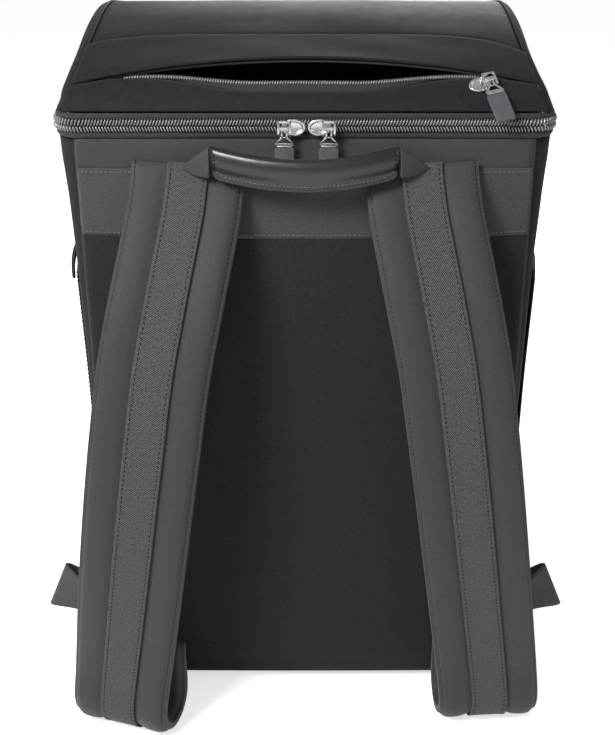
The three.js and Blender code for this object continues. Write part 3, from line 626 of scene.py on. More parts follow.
def panel_place(u, v):
    x = lerp(-PANEL_HALF, PANEL_HALF, u)
    z = lerp(PANEL_RISE, BODY_HEIGHT - CLEARANCE, v)
    edge = min(PANEL_HALF - abs(x), z - PANEL_RISE, BODY_HEIGHT - z + 2)
    roll = math.sqrt(max(0, 1 - (1 - min(1, edge / PANEL_ROLL)) ** 2))
    soft = ripple((x, z, 0), 45, 0.6) * clamp(min(edge, BAND_BOTTOM - 12 - z) / 30)
    return x, BACK + PANEL_EDGE * (1 - roll) * 0.9 - panel_depth(x, z) - soft, z


panel_mesh = shaped_grid(112, 150, panel_place, (2 * PANEL_HALF * MM, BODY_HEIGHT * MM))
face_away(panel_mesh)
back_padding = make_piece("back_padding", panel_mesh, panel_cloth, replaces=["back_panel"])
seam_points = [
    v.index
    for v in back_padding.data.vertices
    if abs(v.co.x) > (PANEL_HALF - 4) * MM or v.co.z < 0.012 or v.co.z > (BAND_BOTTOM - 8) * MM
]
swell = inflate(back_padding, seam_points, 0.6, 2.5)
thicken(back_padding, 1.2)
print("back pad swelled by", round(swell / MM, 2), "mm")

# %% [markdown]
# ## Webbing band
#
# Wide webbing crosses the top of the back, sewn along both edges. It follows the pad's crown a little
# above it, and the straps and handle are sewn over it.


# %% The band across the back
def band_place(u, v):
    x = lerp(CLEARANCE - PANEL_HALF, PANEL_HALF - CLEARANCE, u)
    z = lerp(BAND_BOTTOM, BAND_TOP, v)
    lie = 0.25 * math.sin(math.pi * v) ** 0.5
    return x, BACK - panel_depth(x, z) - CLEARANCE - WEBBING - lie, z


band_size = (2 * PANEL_HALF * MM, (BAND_TOP - BAND_BOTTOM) * MM)
cloth_piece("band_webbing", (120, 18), band_place, band_size, band_twill, WEBBING, "band")

# %% [markdown]
# ## Shoulder straps
#
# A strap leaves the band, stands off the back, runs down and outwards, and curls under where it meets the
# floor. Its padding is two soft lobes with webbing sewn into the valley between them. The path below is a
# short table of stops; a smooth curve through them carries the section down the strap.

# %% The straps' path
STRAP_HALF = 35
STRAP_THICKNESS = 12
STRAP_LIFT = {-1: 58, 1: 48}
STRAP_YAW = {-1: math.radians(18), 1: math.radians(4)}
STRAP_CURL = 18
STRAP_ASIDE = 0.863
STRAP_TAIL = 38
WEBBING_HALF = 12.5
# Height and place aside as shares of the body's, then lift, thickness and yaw as shares of their full sizes
STRAP_STATIONS = [
    (0.966, 0.475, 0, 0.25, 0),
    (0.942, 0.48, 0.02, 0.5, 0),
    (0.898, 0.495, 0.14, 0.85, 0),
    (0.837, 0.53, 0.35, 1, 0),
    (0.765, 0.573, 0.6, 1, 0),
    (0.68, 0.62, 0.79, 1, 0.05),
    (0.583, 0.66, 0.94, 1, 0.1),
    (0.485, 0.7, 0.99, 1, 0.2),
    (0.388, 0.738, 1, 1, 0.35),
    (0.291, 0.777, 0.96, 1, 0.55),
    (0.194, 0.815, 0.91, 1, 0.8),
    (0.117, 0.845, 0.89, 1, 1),
]


def strap_stops(side):
    """Place, thickness and turn of the strap's middle, from the band to the end of its tail."""
    stops = []
    for height, aside, lift, thick, yaw in STRAP_STATIONS:
        x, z = side * aside * WIDTH / 2, height * BODY_HEIGHT
        out = panel_depth(x, z) + WEBBING + 2 * CLEARANCE + thick * STRAP_THICKNESS / 2
        point = Vector((x, BACK - out - STRAP_LIFT[side] * lift, z))
        stops.append((point, thick * STRAP_THICKNESS, yaw * STRAP_YAW[side]))
    yaw = STRAP_YAW[side]
    rearward = Vector((-side * math.sin(yaw), math.cos(yaw), 0))
    level = STRAP_CURL + STRAP_THICKNESS / 2 + 0.2
    start = Vector((side * STRAP_ASIDE * WIDTH / 2, stops[-1][0].y, level))
    for turn in range(0, 181, 30):
        angle = math.radians(turn)
        swing = rearward * STRAP_CURL * (1 - math.cos(angle))
        stops.append((start + swing - Vector((0, 0, STRAP_CURL * math.sin(angle))), STRAP_THICKNESS, yaw))
    for share in (0.5, 1):
        point = start + rearward * 2 * STRAP_CURL + Vector((0, 0, share * STRAP_TAIL))
        stops.append((point, STRAP_THICKNESS * lerp(1, 0.5, share), yaw))
    return stops


class StrapPath:
    """The strap's middle line with its own across and out directions at any share of its length."""

    def __init__(self, side):
        self.side = side
        stops = strap_stops(side)
        self.points = [stop[0] for stop in stops]
        self.thick = [stop[1] for stop in stops]
        self.yaw = [stop[2] for stop in stops]
        self.keys = [0.0]
        for before, after in zip(self.points, self.points[1:]):
            self.keys.append(self.keys[-1] + (after - before).length)
        self.length = self.keys[-1]

    def at(self, share):
        far = clamp(share) * self.length
        point = smooth_read(self.keys, self.points, far)
        ahead = smooth_read(self.keys, self.points, min(self.length, far + 1))
        behind = smooth_read(self.keys, self.points, max(0, far - 1))
        along = (ahead - behind).normalized()
        yaw = smooth_read(self.keys, self.yaw, far)
        across = Vector((math.cos(yaw), self.side * math.sin(yaw), 0))
        across = (across - along * across.dot(along)).normalized()
        thick = smooth_read(self.keys, self.thick, far)
        return point, across, along.cross(across).normalized(), thick


strap_paths = {side: StrapPath(side) for side in (-1, 1)}
print("strap length:", round(strap_paths[1].length), "mm")

# %% The straps' section
VALLEY = 0.66
LOBE = (
    [0, 0.06, 0.18, 0.36, 0.62, 0.82, 0.89, 0.94, 1],
    [0.56, 0.64, 0.84, 0.97, 1, 0.84, 0.5, 0.46, 0.36],
)
STRAP_COLUMNS = 72
STRAP_ROWS = 150
STRAP_GIRTH = 0.15
PINCH = 5


def lobe_half(across):
    """Half thickness, as a share of the strap's thickness, at a distance from its middle."""
    reach = (abs(across) - WEBBING_HALF) / (STRAP_HALF - WEBBING_HALF)
    if reach <= 0:
        return lerp(VALLEY, LOBE[1][0], max(0, 1 + reach * 9))
    return smooth_read(*LOBE, min(1, reach))


def strap_aside(u):
    """Across the strap at a share of the way round its section, closer together at its edges."""
    share = abs(2 * u - 1)
    return -STRAP_HALF * math.sin(math.pi * (share - 0.5)) * lerp(1, 0.94, math.sin(math.pi * share) ** 2)


def face_of(u):
    """Front, 1, or back, -1, of a closed section at a share of the way round it; 0 on its two edges."""
    return 0 if min(u, abs(u - 0.5), 1 - u) < 0.001 else math.copysign(1, 0.5 - u)


def strap_place(side):
    path = strap_paths[side]

    def place(u, v):
        point, across, out, thick = path.at(v)
        aside = strap_aside(u)
        end = min(1, min(v, 1 - v) * path.length / PINCH)
        rise = face_of(u) * lobe_half(aside) * thick / 2 * math.sqrt(end)
        return point + across * aside + out * rise

    return place


# %% The strap pads
def strap_pad(side, name):
    length = strap_paths[side].length
    mesh = shaped_grid(STRAP_COLUMNS, STRAP_ROWS, strap_place(side), (STRAP_GIRTH, length * MM))
    close_up(mesh)
    uv = mesh.loops.layers.uv["cloth"]
    held = []
    for vert in mesh.verts:
        flat = vert.link_loops[0][uv].uv
        aside = abs(strap_aside(flat.x / STRAP_GIRTH))
        sewn = aside < WEBBING_HALF + 0.5 or aside > STRAP_HALF - 4
        if sewn or flat.y < 0.02 or flat.y > length * MM - 0.01:
            held.append(vert.index)
    pad = make_piece(f"strap_pad_{name}", mesh, strap_cloth, replaces=[f"strap_{name}"])
    swell = inflate(pad, held, 2.2, 2.2)
    soften(pad)
    return pad, swell


for name, side in SIDES:
    pad, swell = strap_pad(side, name)
    print(pad.name, "swelled by", round(swell / MM, 2), "mm, faces:", len(pad.data.polygons))


# %% The webbing down each strap
def web_place(path):

    def place(u, v):
        point, across, out, thick = path.at(v)
        aside = lerp(-WEBBING_HALF, WEBBING_HALF, u)
        selvedge = 0.25 * max(0, (abs(aside) - WEBBING_HALF + 3) / 3)
        rise = VALLEY * thick / 2 + CLEARANCE + WEBBING + selvedge
        return point + across * aside + out * rise

    return place


for name, side in SIDES:
    path = strap_paths[side]
    web_size = (2 * WEBBING_HALF * MM, path.length * MM)
    cloth_piece(
        f"strap_web_{name}", (22, 170), web_place(path), web_size, webbing, WEBBING,
        f"strap_webbing_{name}",
    )

# %% [markdown]
# ## Zip
#
# The main zip goes round the back and both sides, between body and lid. Each half is a woven tape with a
# row of nylon coils on its edge. A coil seen from outside is a row of small slanted ovals, so each is a
# small stretched sphere, leaning one way above and the other way below.

# %% Tapes
ZIP_HEIGHT = 16
ZIP_END = 140
TEETH_MIDDLE = BODY_HEIGHT + ZIP_HEIGHT / 2
ZIP_REACH = WIDTH / 2 - CORNER_RADIUS + CORNER_RADIUS * math.pi / 2 + ZIP_END - CORNER_RADIUS
ZIP_PLAN = (WIDTH / 2, BACK, FRONT, CORNER_RADIUS)
# How far the tape stands out, by its distance up or down from the teeth's middle
TAPE_PROFILE = ([3.9, 6, 7.7], [1.2, 1.5, 0.6])


def zip_tape(turn, name, node):
    def place(u, v):
        point, out = plan_point(lerp(-ZIP_REACH, ZIP_REACH, u), *ZIP_PLAN)
        off = lerp(TAPE_PROFILE[0][0], TAPE_PROFILE[0][-1], v)
        reach = smooth_read(*TAPE_PROFILE, off) + ZIP_FLARE * abs(out.x)
        return point + out * reach + Vector((0, 0, TEETH_MIDDLE + turn * off))

    tape_size = (2 * ZIP_REACH * MM, 0.0034)
    cloth_piece(name, (260, 6), place, tape_size, zip_web, 1.4, node, (0, 0, TEETH_MIDDLE * MM))


zip_tape(-1, "zip_web_lower", "zip_tape_lower")
zip_tape(1, "zip_web_upper", "zip_tape_upper")

# %% Teeth
TOOTH_PITCH = 1.87
TOOTH_LEAN = math.radians(22)
TOOTH_REACH = 1.75


def bead_row(places, size, segments=8, rings=5):
    """Many small stretched spheres in one mesh; each place is a point and its turning matrix."""
    bead = bmesh.new()
    shape = Matrix.Diagonal((*[s * MM for s in size], 1))
    bmesh.ops.create_uvsphere(bead, u_segments=segments, v_segments=rings, radius=0.5, matrix=shape)
    pattern = bpy.data.meshes.new("bead")
    bead.to_mesh(pattern)
    bead.free()
    mesh = bmesh.new()
    for point, turning in places:
        copy = pattern.copy()
        copy.transform(Matrix.Translation(Vector(point) * MM) @ turning.to_4x4())
        mesh.from_mesh(copy)
        bpy.data.meshes.remove(copy)
    bpy.data.meshes.remove(pattern)
    return mesh


def basis(along, out):
    """A turning matrix whose X lies along a line, Y points into the cloth and Z completes them."""
    x = along.normalized()
    z = x.cross(-out).normalized()
    return Matrix((x, z.cross(x), z)).transposed()


def stitches(name, line, length, pitch, material, size=(2.3, 0.7, 0.55), lean=0):
    """A row of stitches; line(share) gives a point and the way out of the cloth there."""
    count = max(1, int(length / pitch))
    places = []
    for k in range(count):
        share = (k + 0.5) / count
        point, out = line(share)
        step = line(min(1, share + 0.004))[0] - line(max(0, share - 0.004))[0]
        places.append((point, basis(step, out) @ Matrix.Rotation(math.radians(lean), 3, "Y")))
    make_piece(name, bead_row(places, size, 6, 4), material)


def zip_teeth(turn, name, node, height, shift):
    count = int(2 * ZIP_REACH / TOOTH_PITCH) - 1
    places = []
    for k in range(count):
        point, out = plan_point(-ZIP_REACH + (k + 0.8 + shift) * TOOTH_PITCH, *ZIP_PLAN)
        across = Vector((-out.y, out.x, 0))
        lean = Matrix.Rotation(turn * TOOTH_LEAN, 3, "Y")
        level = Vector((0, 0, TEETH_MIDDLE + turn * height * 0.44))
        middle = point + out * (TOOTH_REACH + ZIP_FLARE * abs(out.x)) + level
        places.append((middle, basis(across, out) @ lean))
    make_piece(name, bead_row(places, (1.35, 2.7, height)), nylon, replaces=[node])
    print(name, "has", count, "teeth")


zip_teeth(-1, "zip_coil_lower", "zip_teeth_lower", 4.2, 0.0)
zip_teeth(1, "zip_coil_upper", "zip_teeth_upper", 4.9, 0.5)

# %% [markdown]
# ## Lid
#
# The lid slopes from a high leather-like top down to the zip. A cloth gusset closes its sides and front.
# On the wearer's side a flap hangs from a bowed seam over the mouth of a flat pocket, whose lower panel
# comes up from the zip. Tops and panels follow one table of heights.

# %% The lid's slope and its seams
LID_BASE = BODY_HEIGHT + ZIP_HEIGHT
LID_RISE = 45
LID_HALF = WIDTH / 2 - 0.5
LID_CORNER = 24
SEAM_INSET = 9
TOP_INSET = 13.5
SEAM_X = LID_HALF - SEAM_INSET
SEAM_BACK = 63
SEAM_DROP = {-1: 12, 1: 22}
LIP_ENDS = 15
LIP_BOW = 14
GAPE = 5
LID_SHOULDER = 7
LID_CLOTH = 2
SIDE_INSET = ([0, 8, 15, 24, 34, 50, 80, 400], [1.5, 3.8, 6.2, 8.2, 10, 12, TOP_INSET, TOP_INSET])
INSIDE_LID = (0, 0, 0.4)
LID_PROFILE = (
    [0, 0.05, 0.106, 0.176, 0.27, 0.382, 0.48, 0.588, 0.765, 0.88, 0.97, 1],
    [0, 0.16, 0.333, 0.48, 0.64, 0.785, 0.875, 0.945, 1, 0.975, 0.9, 0.85],
)


def lid_top(y):
    return LID_BASE + LID_RISE * smooth_read(*LID_PROFILE, clamp((y - BACK) / DEPTH))


def seam_line(x):
    """Where the bowed seam between top and flap runs; it drops towards the lid's corners."""
    return BACK + SEAM_BACK - SEAM_DROP[1 if x > 0 else -1] * (abs(x) / SEAM_X) ** 6


def lip_line(x):
    """Where the flap's free edge runs."""
    return BACK + LIP_ENDS + LIP_BOW * (1 - (x / SEAM_X) ** 2)


def side_inset(y):
    """How far the side seams lie inside the lid's width: little at the zip, more towards the top."""
    return smooth_read(*SIDE_INSET, y - BACK)


def seam_half(y):
    """Half width of the lid's top inside its seam, narrower at the round front corners."""
    past = min(1, max(0, y - (FRONT - LID_CORNER)) / (LID_CORNER - SEAM_INSET - 2 * CLEARANCE))
    round_part = LID_CORNER - TOP_INSET
    return LID_HALF - side_inset(y) - CLEARANCE - round_part * (1 - math.sqrt(1 - past**2))


# %% The gusset
# Its plan runs far past the wearer's side, so that it has round corners at the front alone
FAR_BACK = -400
GUSSET_START = BACK + 3
GUSSET_PLAN = (LID_HALF, FAR_BACK, FRONT, LID_CORNER)
GUSSET_ROUND = plan_length(*GUSSET_PLAN)
GUSSET_FROM = LID_HALF - LID_CORNER + LID_CORNER * math.pi / 2 + GUSSET_START - FAR_BACK - LID_CORNER
FOOT_STEP = BACK + ZIP_END + 0.6
SHOULDER_SHARE = 0.6
FOOT_FLARE = 3.4
LEAN_UP = [0, 0.1, 0.33, 0.55, 0.9, 1]
LEAN = {-1: [-0.8, -1.4, 1.3, 4, 5, 5], 1: [-0.8, -1.2, 3.4, 6.4, 6.6, 6.4]}


def gusset_stop(u):
    far = lerp(GUSSET_FROM, GUSSET_ROUND - GUSSET_FROM, u)
    return plan_point(far if far < GUSSET_ROUND / 2 else far - GUSSET_ROUND, *GUSSET_PLAN)


def side_lean(z, out):
    """How far the gusset's sides lean in above the lid's foot; the right side leans more."""
    return smooth_read(LEAN_UP, LEAN[1 if out.x > 0 else -1], clamp((z - LID_BASE) / LID_RISE)) * abs(out.x)


def seam_inset(stop, out):
    return Vector((side_inset(stop.y) * out.x, SEAM_INSET * out.y, 0))


def gusset_place(u, v):
    stop, out = gusset_stop(u)
    foot = lerp(LID_BASE, BODY_HEIGHT, clamp((stop.y - FOOT_STEP) / 2.5)) + CLEARANCE
    top = lid_top(stop.y - out.y * SEAM_INSET)
    shoulder = max(top - LID_SHOULDER, foot + CLEARANCE)
    grown = clamp((stop.y - GUSSET_START) / 14)
    if v < SHOULDER_SHARE:
        share = v / SHOULDER_SHARE
        z = lerp(foot, shoulder, share)
        soft = ripple(stop + Vector((0, 0, z)), 38, 0.8) * math.sin(math.pi * share)
        flare_out = FOOT_FLARE * abs(out.x) * (1 - share) ** 2
        return stop + out * (soft - 0.4 + (flare_out - side_lean(z, out)) * grown) + Vector((0, 0, z))
    turn = (v - SHOULDER_SHARE) / (1 - SHOULDER_SHARE) * math.pi / 2
    tuck = 1.2 * max(0, (v - 0.93) / 0.07)
    edge = stop - out * (0.4 + side_lean(shoulder, out) * grown)
    z = lerp(shoulder, top, math.sin(turn)) - tuck
    return edge.lerp(stop - seam_inset(stop, out), 1 - math.cos(turn)) + Vector((0, 0, z))


cloth_piece(
    "lid_gusset", (240, 26), gusset_place, (0.612, 0.05), lining_cloth, 1.8, "lid_wall",
    (0, 0, 0.43),
)


# %% The leather-like top
def lid_top_place(u, step):
    v = 1 - (1 - step) ** 1.6
    aside = lerp(-1, 1, u)
    seam = seam_line(aside * SEAM_X)
    level = lerp(BACK + SEAM_BACK, FRONT - SEAM_INSET - 2 * CLEARANCE, v)
    y = level + (seam + CLEARANCE - BACK - SEAM_BACK) * (1 - v) ** 1.5
    x = aside * seam_half(y)
    crown = 2 * (1 - (x / SEAM_X) ** 2) * math.sin(math.pi * v)
    edge = min(seam_half(y) - abs(x), y - seam, FRONT - SEAM_INSET - y)
    tuck = 1.3 * max(0, 1 - edge / 3) ** 2
    soft = ripple((x, y, 0), 60, 0.7) * min(1, edge / 20)
    return x, y, lid_top(y) + crown + soft - tuck


cloth_piece(
    "lid_leather_top", (130, 56), lid_top_place, (0.28, 0.1), lid_leather, 1.8,
    "lid_top_panel", INSIDE_LID,
)


# %% The flap over the pocket's mouth
def flap_place(u, v):
    aside = lerp(-1, 1, u)
    level = aside * SEAM_X
    y = lerp(seam_line(level) - CLEARANCE, lip_line(level), v)
    x = aside * (LID_HALF - side_inset(y) - CLEARANCE)
    gape = GAPE * (1 - aside**2) * v**2
    tuck = 1.3 * max(0, 1 - (seam_line(level) - y) / 3) ** 2
    soft = ripple((x * 0.5, y, 0), 24, 1.0) * min(1, (1 - abs(aside)) * 7) * math.sin(math.pi * v)
    return x, y, lid_top(y) + gape - tuck + soft


lid_flap = cloth_piece(
    "lid_flap_cloth", (130, 30), flap_place, (0.28, 0.045), flap_cloth, LID_CLOTH, "lid_flap",
    INSIDE_LID,
)
soften(lid_flap)


# %% The pocket's lower panel
MOUTH_OPEN = 30
MOUTH_FADE = 96
MOUTH_EDGE = 16.5
MOUTH_LEFT = -112
MOUTH_RIGHT = 118
COIL_PITCH = 1.6
UNDER_HALF = 125


def mouth_closing(x):
    """0 where the mouth gapes, 1 near its ends, where the panel tucks under the flap."""
    share = clamp((abs(x) - MOUTH_OPEN) / MOUTH_FADE)
    return share * share * (3 - 2 * share)


def lower_panel(x, v):
    closing = mouth_closing(x)
    y = lerp(BACK + CLEARANCE, lerp(BACK + MOUTH_EDGE, lip_line(x) + 3.5, closing), v)
    slack = lerp(6 * (1 - (x / SEAM_X) ** 4), 2.4, closing) * v**2
    z = lid_top(y) + CLEARANCE + 3.6 * math.sin(math.pi * v) - slack
    return Vector((x, y, z))


def pocket_place(u, v):
    aside = lerp(-1, 1, u)
    point = lower_panel(aside * (SEAM_X - CLEARANCE), v)
    point.x = aside * (LID_HALF - side_inset(point.y) - CLEARANCE)
    edge = min(1, (1 - abs(aside)) * 10)
    soft = ripple((point.x * 0.6, v * 20, 3), 16, 1.0) * edge * math.sin(math.pi * v)
    return point + Vector((0, -0.5, 0.7)) * soft


lid_pocket = cloth_piece(
    "lid_pocket_cloth", (130, 20), pocket_place, (0.28, 0.022), flap_cloth, 1.6,
    "lid_pocket_panel", INSIDE_LID,
)
soften(lid_pocket)


# %% The pocket's zip, seen in its mouth
def mouth_point(x, share):
    """Between the lower panel's edge and the flap's lip."""
    edge = lower_panel(x, 1)
    y = lip_line(x)
    lip = Vector((x, y, lid_top(y) + GAPE * (1 - (x / SEAM_X) ** 2) - LID_CLOTH))
    return edge.lerp(lip, share) + Vector((0, CLEARANCE, 0))


def mouth_web_place(u, v):
    return mouth_point(lerp(MOUTH_LEFT, MOUTH_RIGHT, u), lerp(0.04, 0.3, v))


cloth_piece(
    "mouth_zip_web", (90, 5), mouth_web_place, (0.25, 0.006), zip_web, 1, "lid_zip_lower", INSIDE_LID
)
coil_lean = Matrix.Rotation(math.radians(-45), 3, "X") @ Matrix.Rotation(math.radians(20), 3, "Y")
coil_count = int((MOUTH_RIGHT - MOUTH_LEFT - 2) / COIL_PITCH)
coil_places = [(mouth_point(MOUTH_LEFT + 1 + k * COIL_PITCH, 0.34), coil_lean) for k in range(coil_count)]
make_piece("mouth_zip_coil", bead_row(coil_places, (1.5, 2.2, 3.2)), nylon)


def under_place(u, v):
    x = lerp(-UNDER_HALF, UNDER_HALF, u)
    share = lerp(0.75, 0.95, v)
    y = lerp(seam_line(x), lip_line(x), share)
    gape = GAPE * (1 - (x / SEAM_X) ** 2) * share**2
    return x, y, lid_top(y) + gape - LID_CLOTH - 2 * CLEARANCE


cloth_piece(
    "flap_zip_web", (90, 5), under_place, (0.25, 0.008), zip_web, 1.4, "lid_zip_upper", INSIDE_LID
)


# %% The lid's insulated floor
FLOOR_LOW = 418.7
FLOOR_HIGH = 426.5
FLOOR_STOPS = 120


def plan_plate(shape, low, high, bevel):
    """A flat plate with the plan's rounded corners, from one height to another."""
    mesh = bmesh.new()
    bmesh.ops.create_circle(mesh, cap_ends=True, segments=FLOOR_STOPS, radius=1)
    length = plan_length(*shape)
    for k, vert in enumerate(list(mesh.verts)):
        point, out = plan_point((k / FLOOR_STOPS - 0.5) * length, *shape)
        vert.co = (point + Vector((0, 0, low))) * MM
    made = bmesh.ops.extrude_face_region(mesh, geom=mesh.faces[:])
    raised = [g for g in made["geom"] if isinstance(g, bmesh.types.BMVert)]
    bmesh.ops.translate(mesh, verts=raised, vec=(0, 0, (high - low) * MM))
    bmesh.ops.recalc_face_normals(mesh, faces=mesh.faces)
    rims = [e for e in mesh.edges if abs(e.verts[0].co.z - e.verts[1].co.z) < 1e-6]
    round_edges(mesh, rims, bevel, 3)
    return mesh


FLOOR_PLAN = (LID_HALF - LID_CLOTH - CLEARANCE, BACK + PANEL_EDGE, FRONT - LID_CLOTH - CLEARANCE, 22)
floor_plate = plan_plate(FLOOR_PLAN, FLOOR_LOW, FLOOR_HIGH, 2)
lid_base = make_piece("lid_base", floor_plate, lining_cloth, replaces=["lid_floor"], smooth=False)
print("lid pieces done; lid base faces:", len(lid_base.data.polygons))

# %% [markdown]
# ## Side pockets
#
# A stretch knit pocket bellies off each side, with a folded lip at its mouth. Both are sheets that leave
# the body in a shallow curve and come back to it at the seams.

# %% Pocket cloth and lips
POCKET_HEIGHT = 312
POCKET_INSET = 22
POCKET_BELLY = 8


def pocket_sheet(side, out, low, high):
    def place(u, v):
        z = lerp(low, high, v)
        rise = min(1, (z - 6) / (POCKET_HEIGHT / 2))
        belly = POCKET_BELLY * math.sin(math.pi * u) * math.sin(math.pi / 2 * rise)
        y = lerp(BACK + POCKET_INSET, FRONT - POCKET_INSET, u)
        soft = ripple((y, z, side * 9), 30, 0.7) * math.sin(math.pi * u)
        return side * (body_half(z) + belly + out + soft), y, z

    return place


for name, side in SIDES:
    knit_place = pocket_sheet(side, CLEARANCE + 1.5, 6, POCKET_HEIGHT - CLEARANCE)
    cloth_piece(
        f"pocket_knit_{name}", (40, 90), knit_place, (0.13, 0.31), pocket_knit, 1.5,
        f"side_pocket_{name}",
    )
    lip_place = pocket_sheet(side, CLEARANCE + 2.5, POCKET_HEIGHT, POCKET_HEIGHT + 6)
    lip = cloth_piece(
        f"pocket_lip_{name}", (40, 4), lip_place, (0.13, 0.006), lining_cloth, 2.3,
        f"pocket_binding_{name}",
    )
    soften(lip)

# %% [markdown]
# ## Buckles and webbing loops
#
# Behind each strap a plain plastic buckle joins its tail to a webbing loop. The loop runs out past the
# body's side, folds at its tip and comes back to the seam.

# %% Where a buckle sits
BUCKLE = (36, 4, 18)


def buckle_frame(side):
    point, across, out, thick = strap_paths[side].at(1)
    level = Vector((across.x, across.y, 0)).normalized()
    return point + Vector((0, 0, CLEARANCE + BUCKLE[2] / 2)), level


for name, side in SIDES:
    middle, level = buckle_frame(side)
    mesh = bmesh.new()
    bmesh.ops.create_cube(mesh, size=1)
    bmesh.ops.scale(mesh, verts=mesh.verts, vec=[s * MM for s in BUCKLE])
    wide = [f for f in mesh.faces if abs(f.normal.y) > 0.9]
    bmesh.ops.inset_region(mesh, faces=wide, thickness=0.0028, depth=-0.0012, use_even_offset=True)
    round_edges(mesh, mesh.edges[:], 0.5, 2)
    turn = Matrix.Rotation(math.atan2(level.y, level.x), 4, "Z")
    bmesh.ops.transform(mesh, matrix=Matrix.Translation(middle * MM) @ turn, verts=mesh.verts)
    node = f"strap_buckle_{name}"
    make_piece(f"buckle_{name}", mesh, hard_plastic, replaces=[node], smooth=False)

# %% Webbing loops
LOOP_HEIGHT = 62
LOOP_WIDTH = 28
LOOP_REACH = 36


def loop_stops(side):
    """Lower and upper edge of the webbing at each stop, from the buckle round the fold to the seam."""
    middle, level = buckle_frame(side)
    start = middle + level * side * (BUCKLE[0] / 2 + 2 * CLEARANCE)
    reach = WIDTH / 2 + LOOP_REACH
    seat = body_half(LOOP_HEIGHT) + CLEARANCE + WEBBING
    front, back = BACK - 14, BACK + CORNER_RADIUS + CLEARANCE
    return [
        (start - Vector((0, 0, 9)), start + Vector((0, 0, 9))),
        (Vector((side * (reach - 24), front, 72)), Vector((side * (reach - 27), front, 98))),
        (Vector((side * (reach - 3), BACK - 4, 69)), Vector((side * (reach - 17), BACK - 4, 101))),
        (Vector((side * reach, BACK, 68)), Vector((side * (reach - 14), BACK, 102))),
        (Vector((side * (reach - 3), BACK + 4, 66)), Vector((side * (reach - 17), BACK + 4, 99))),
        (Vector((side * seat, back, 48)), Vector((side * seat, back, 76))),
    ]


def strap_loop(side, name):
    edges = loop_stops(side)
    keys = [0.0]
    for before, after in zip(edges, edges[1:]):
        keys.append(keys[-1] + (after[0] - before[0]).length)

    def place(u, v):
        low = smooth_read(keys, [edge[0] for edge in edges], u * keys[-1])
        high = smooth_read(keys, [edge[1] for edge in edges], u * keys[-1])
        return low.lerp(high, v)

    loop_size = (keys[-1] * MM, LOOP_WIDTH * MM)
    loop = cloth_piece(
        f"loop_web_{name}", (90, 14), place, loop_size, webbing, WEBBING,
        f"strap_loop_{name}", offset=0,
    )
    print(loop.name, round(keys[-1]), "mm of webbing")


for name, side in SIDES:
    strap_loop(side, name)

# %% [markdown]
# ## Handle
#
# The grab handle is leather-like sheet folded over a soft core, with its two edges sewn together below.
# It arches off the straps' tops, and a triangle of cloth ties each end down.

# %% The handle's line and section
HANDLE_SPAN = 114
HANDLE_HEIGHT = 20
HANDLE_THICKNESS = 9
HANDLE_BELOW = 10
HANDLE_BOW = 11
HANDLE_SAG = 5.5
HANDLE_PINCH = 1.6
HANDLE_CHAMFER = 3.5
HANDLE_SECTION = ([0, 0.14, 0.25, 0.42, 0.62, 0.82, 0.95, 1], [0.25, 0.28, 0.32, 0.75, 1, 0.92, 0.6, 0.1])


def strap_face(row):
    height, aside, lift, thick, yaw = STRAP_STATIONS[row]
    lifted = thick * STRAP_THICKNESS + STRAP_LIFT[-1] * lift
    return panel_depth(aside * WIDTH / 2, height * BODY_HEIGHT) + WEBBING + 2 * CLEARANCE + lifted


def handle_centre(x):
    arch = 1 - (x / (HANDLE_SPAN / 2)) ** 2
    seat = strap_face(1) + CLEARANCE + HANDLE_THICKNESS / 2
    return Vector((x, BACK - seat - HANDLE_BOW * arch, BODY_HEIGHT - HANDLE_BELOW - HANDLE_SAG * arch))


def handle_place(u, v):
    x = lerp(-0.5, 0.5, v) * HANDLE_SPAN
    up = 0.5 - 0.5 * math.cos(2 * math.pi * u)
    from_end = min(v, 1 - v) * HANDLE_SPAN
    end = min(1, from_end / HANDLE_PINCH)
    half = smooth_read(*HANDLE_SECTION, up) * HANDLE_THICKNESS / 2 * lerp(0.75, 1, end)
    chamfer = HANDLE_CHAMFER * max(0, 1 - from_end / HANDLE_CHAMFER) * (1 - up) ** 2
    return handle_centre(x) + Vector((0, -face_of(u) * half, (up - 0.5) * HANDLE_HEIGHT + chamfer))


handle_mesh = shaped_grid(36, 70, handle_place, (0.045, HANDLE_SPAN * MM))
close_up(handle_mesh)
handle_grip = make_piece("handle_fold", handle_mesh, handle_leather, replaces=["handle_grip"])
soften(handle_grip)


# %% The handle's cloth ends
def handle_end_place(side):
    near = handle_centre(side * HANDLE_SPAN / 2)
    out = strap_face(0) + WEBBING + 3 * CLEARANCE + 1.25
    tip = Vector((side * (HANDLE_SPAN / 2 + 18), BACK - out, STRAP_STATIONS[0][0] * BODY_HEIGHT - 1))

    def place(u, v):
        angle = 2 * math.pi * u
        point = near.lerp(tip, v)
        thick = lerp(8.2, 1.6, v**0.8)
        tall = lerp(19.4, 1.2, v**0.85)
        sag = 2.4 * math.sin(math.pi * v) * max(0, -math.sin(angle))
        up = max(-0.5, min(0.5, math.sin(angle) * 0.6)) * tall - sag
        return point + Vector((side * CLEARANCE * (1 - v), -math.cos(angle) * thick / 2, up))

    return place


for name, side in SIDES:
    mesh = shaped_grid(32, 16, handle_end_place(side), (0.05, 0.02))
    close_up(mesh)
    end = make_piece(f"handle_gusset_{name}", mesh, band_twill, replaces=[f"handle_end_{name}"])
    soften(end)

# %% [markdown]
# ## Stitches and piping
#
# Rows of stitches say how everything is held together. Each stitch is a small stretched bead, laid along
# a line that one function gives: down both edges of the webbing, along the band, round the lid's seam
# and along the handle's lower edge.


# %% Stitch rows on straps and band
WEB_STITCH_ASIDE = 10.2
EDGE_STITCH_ASIDE = 32.4


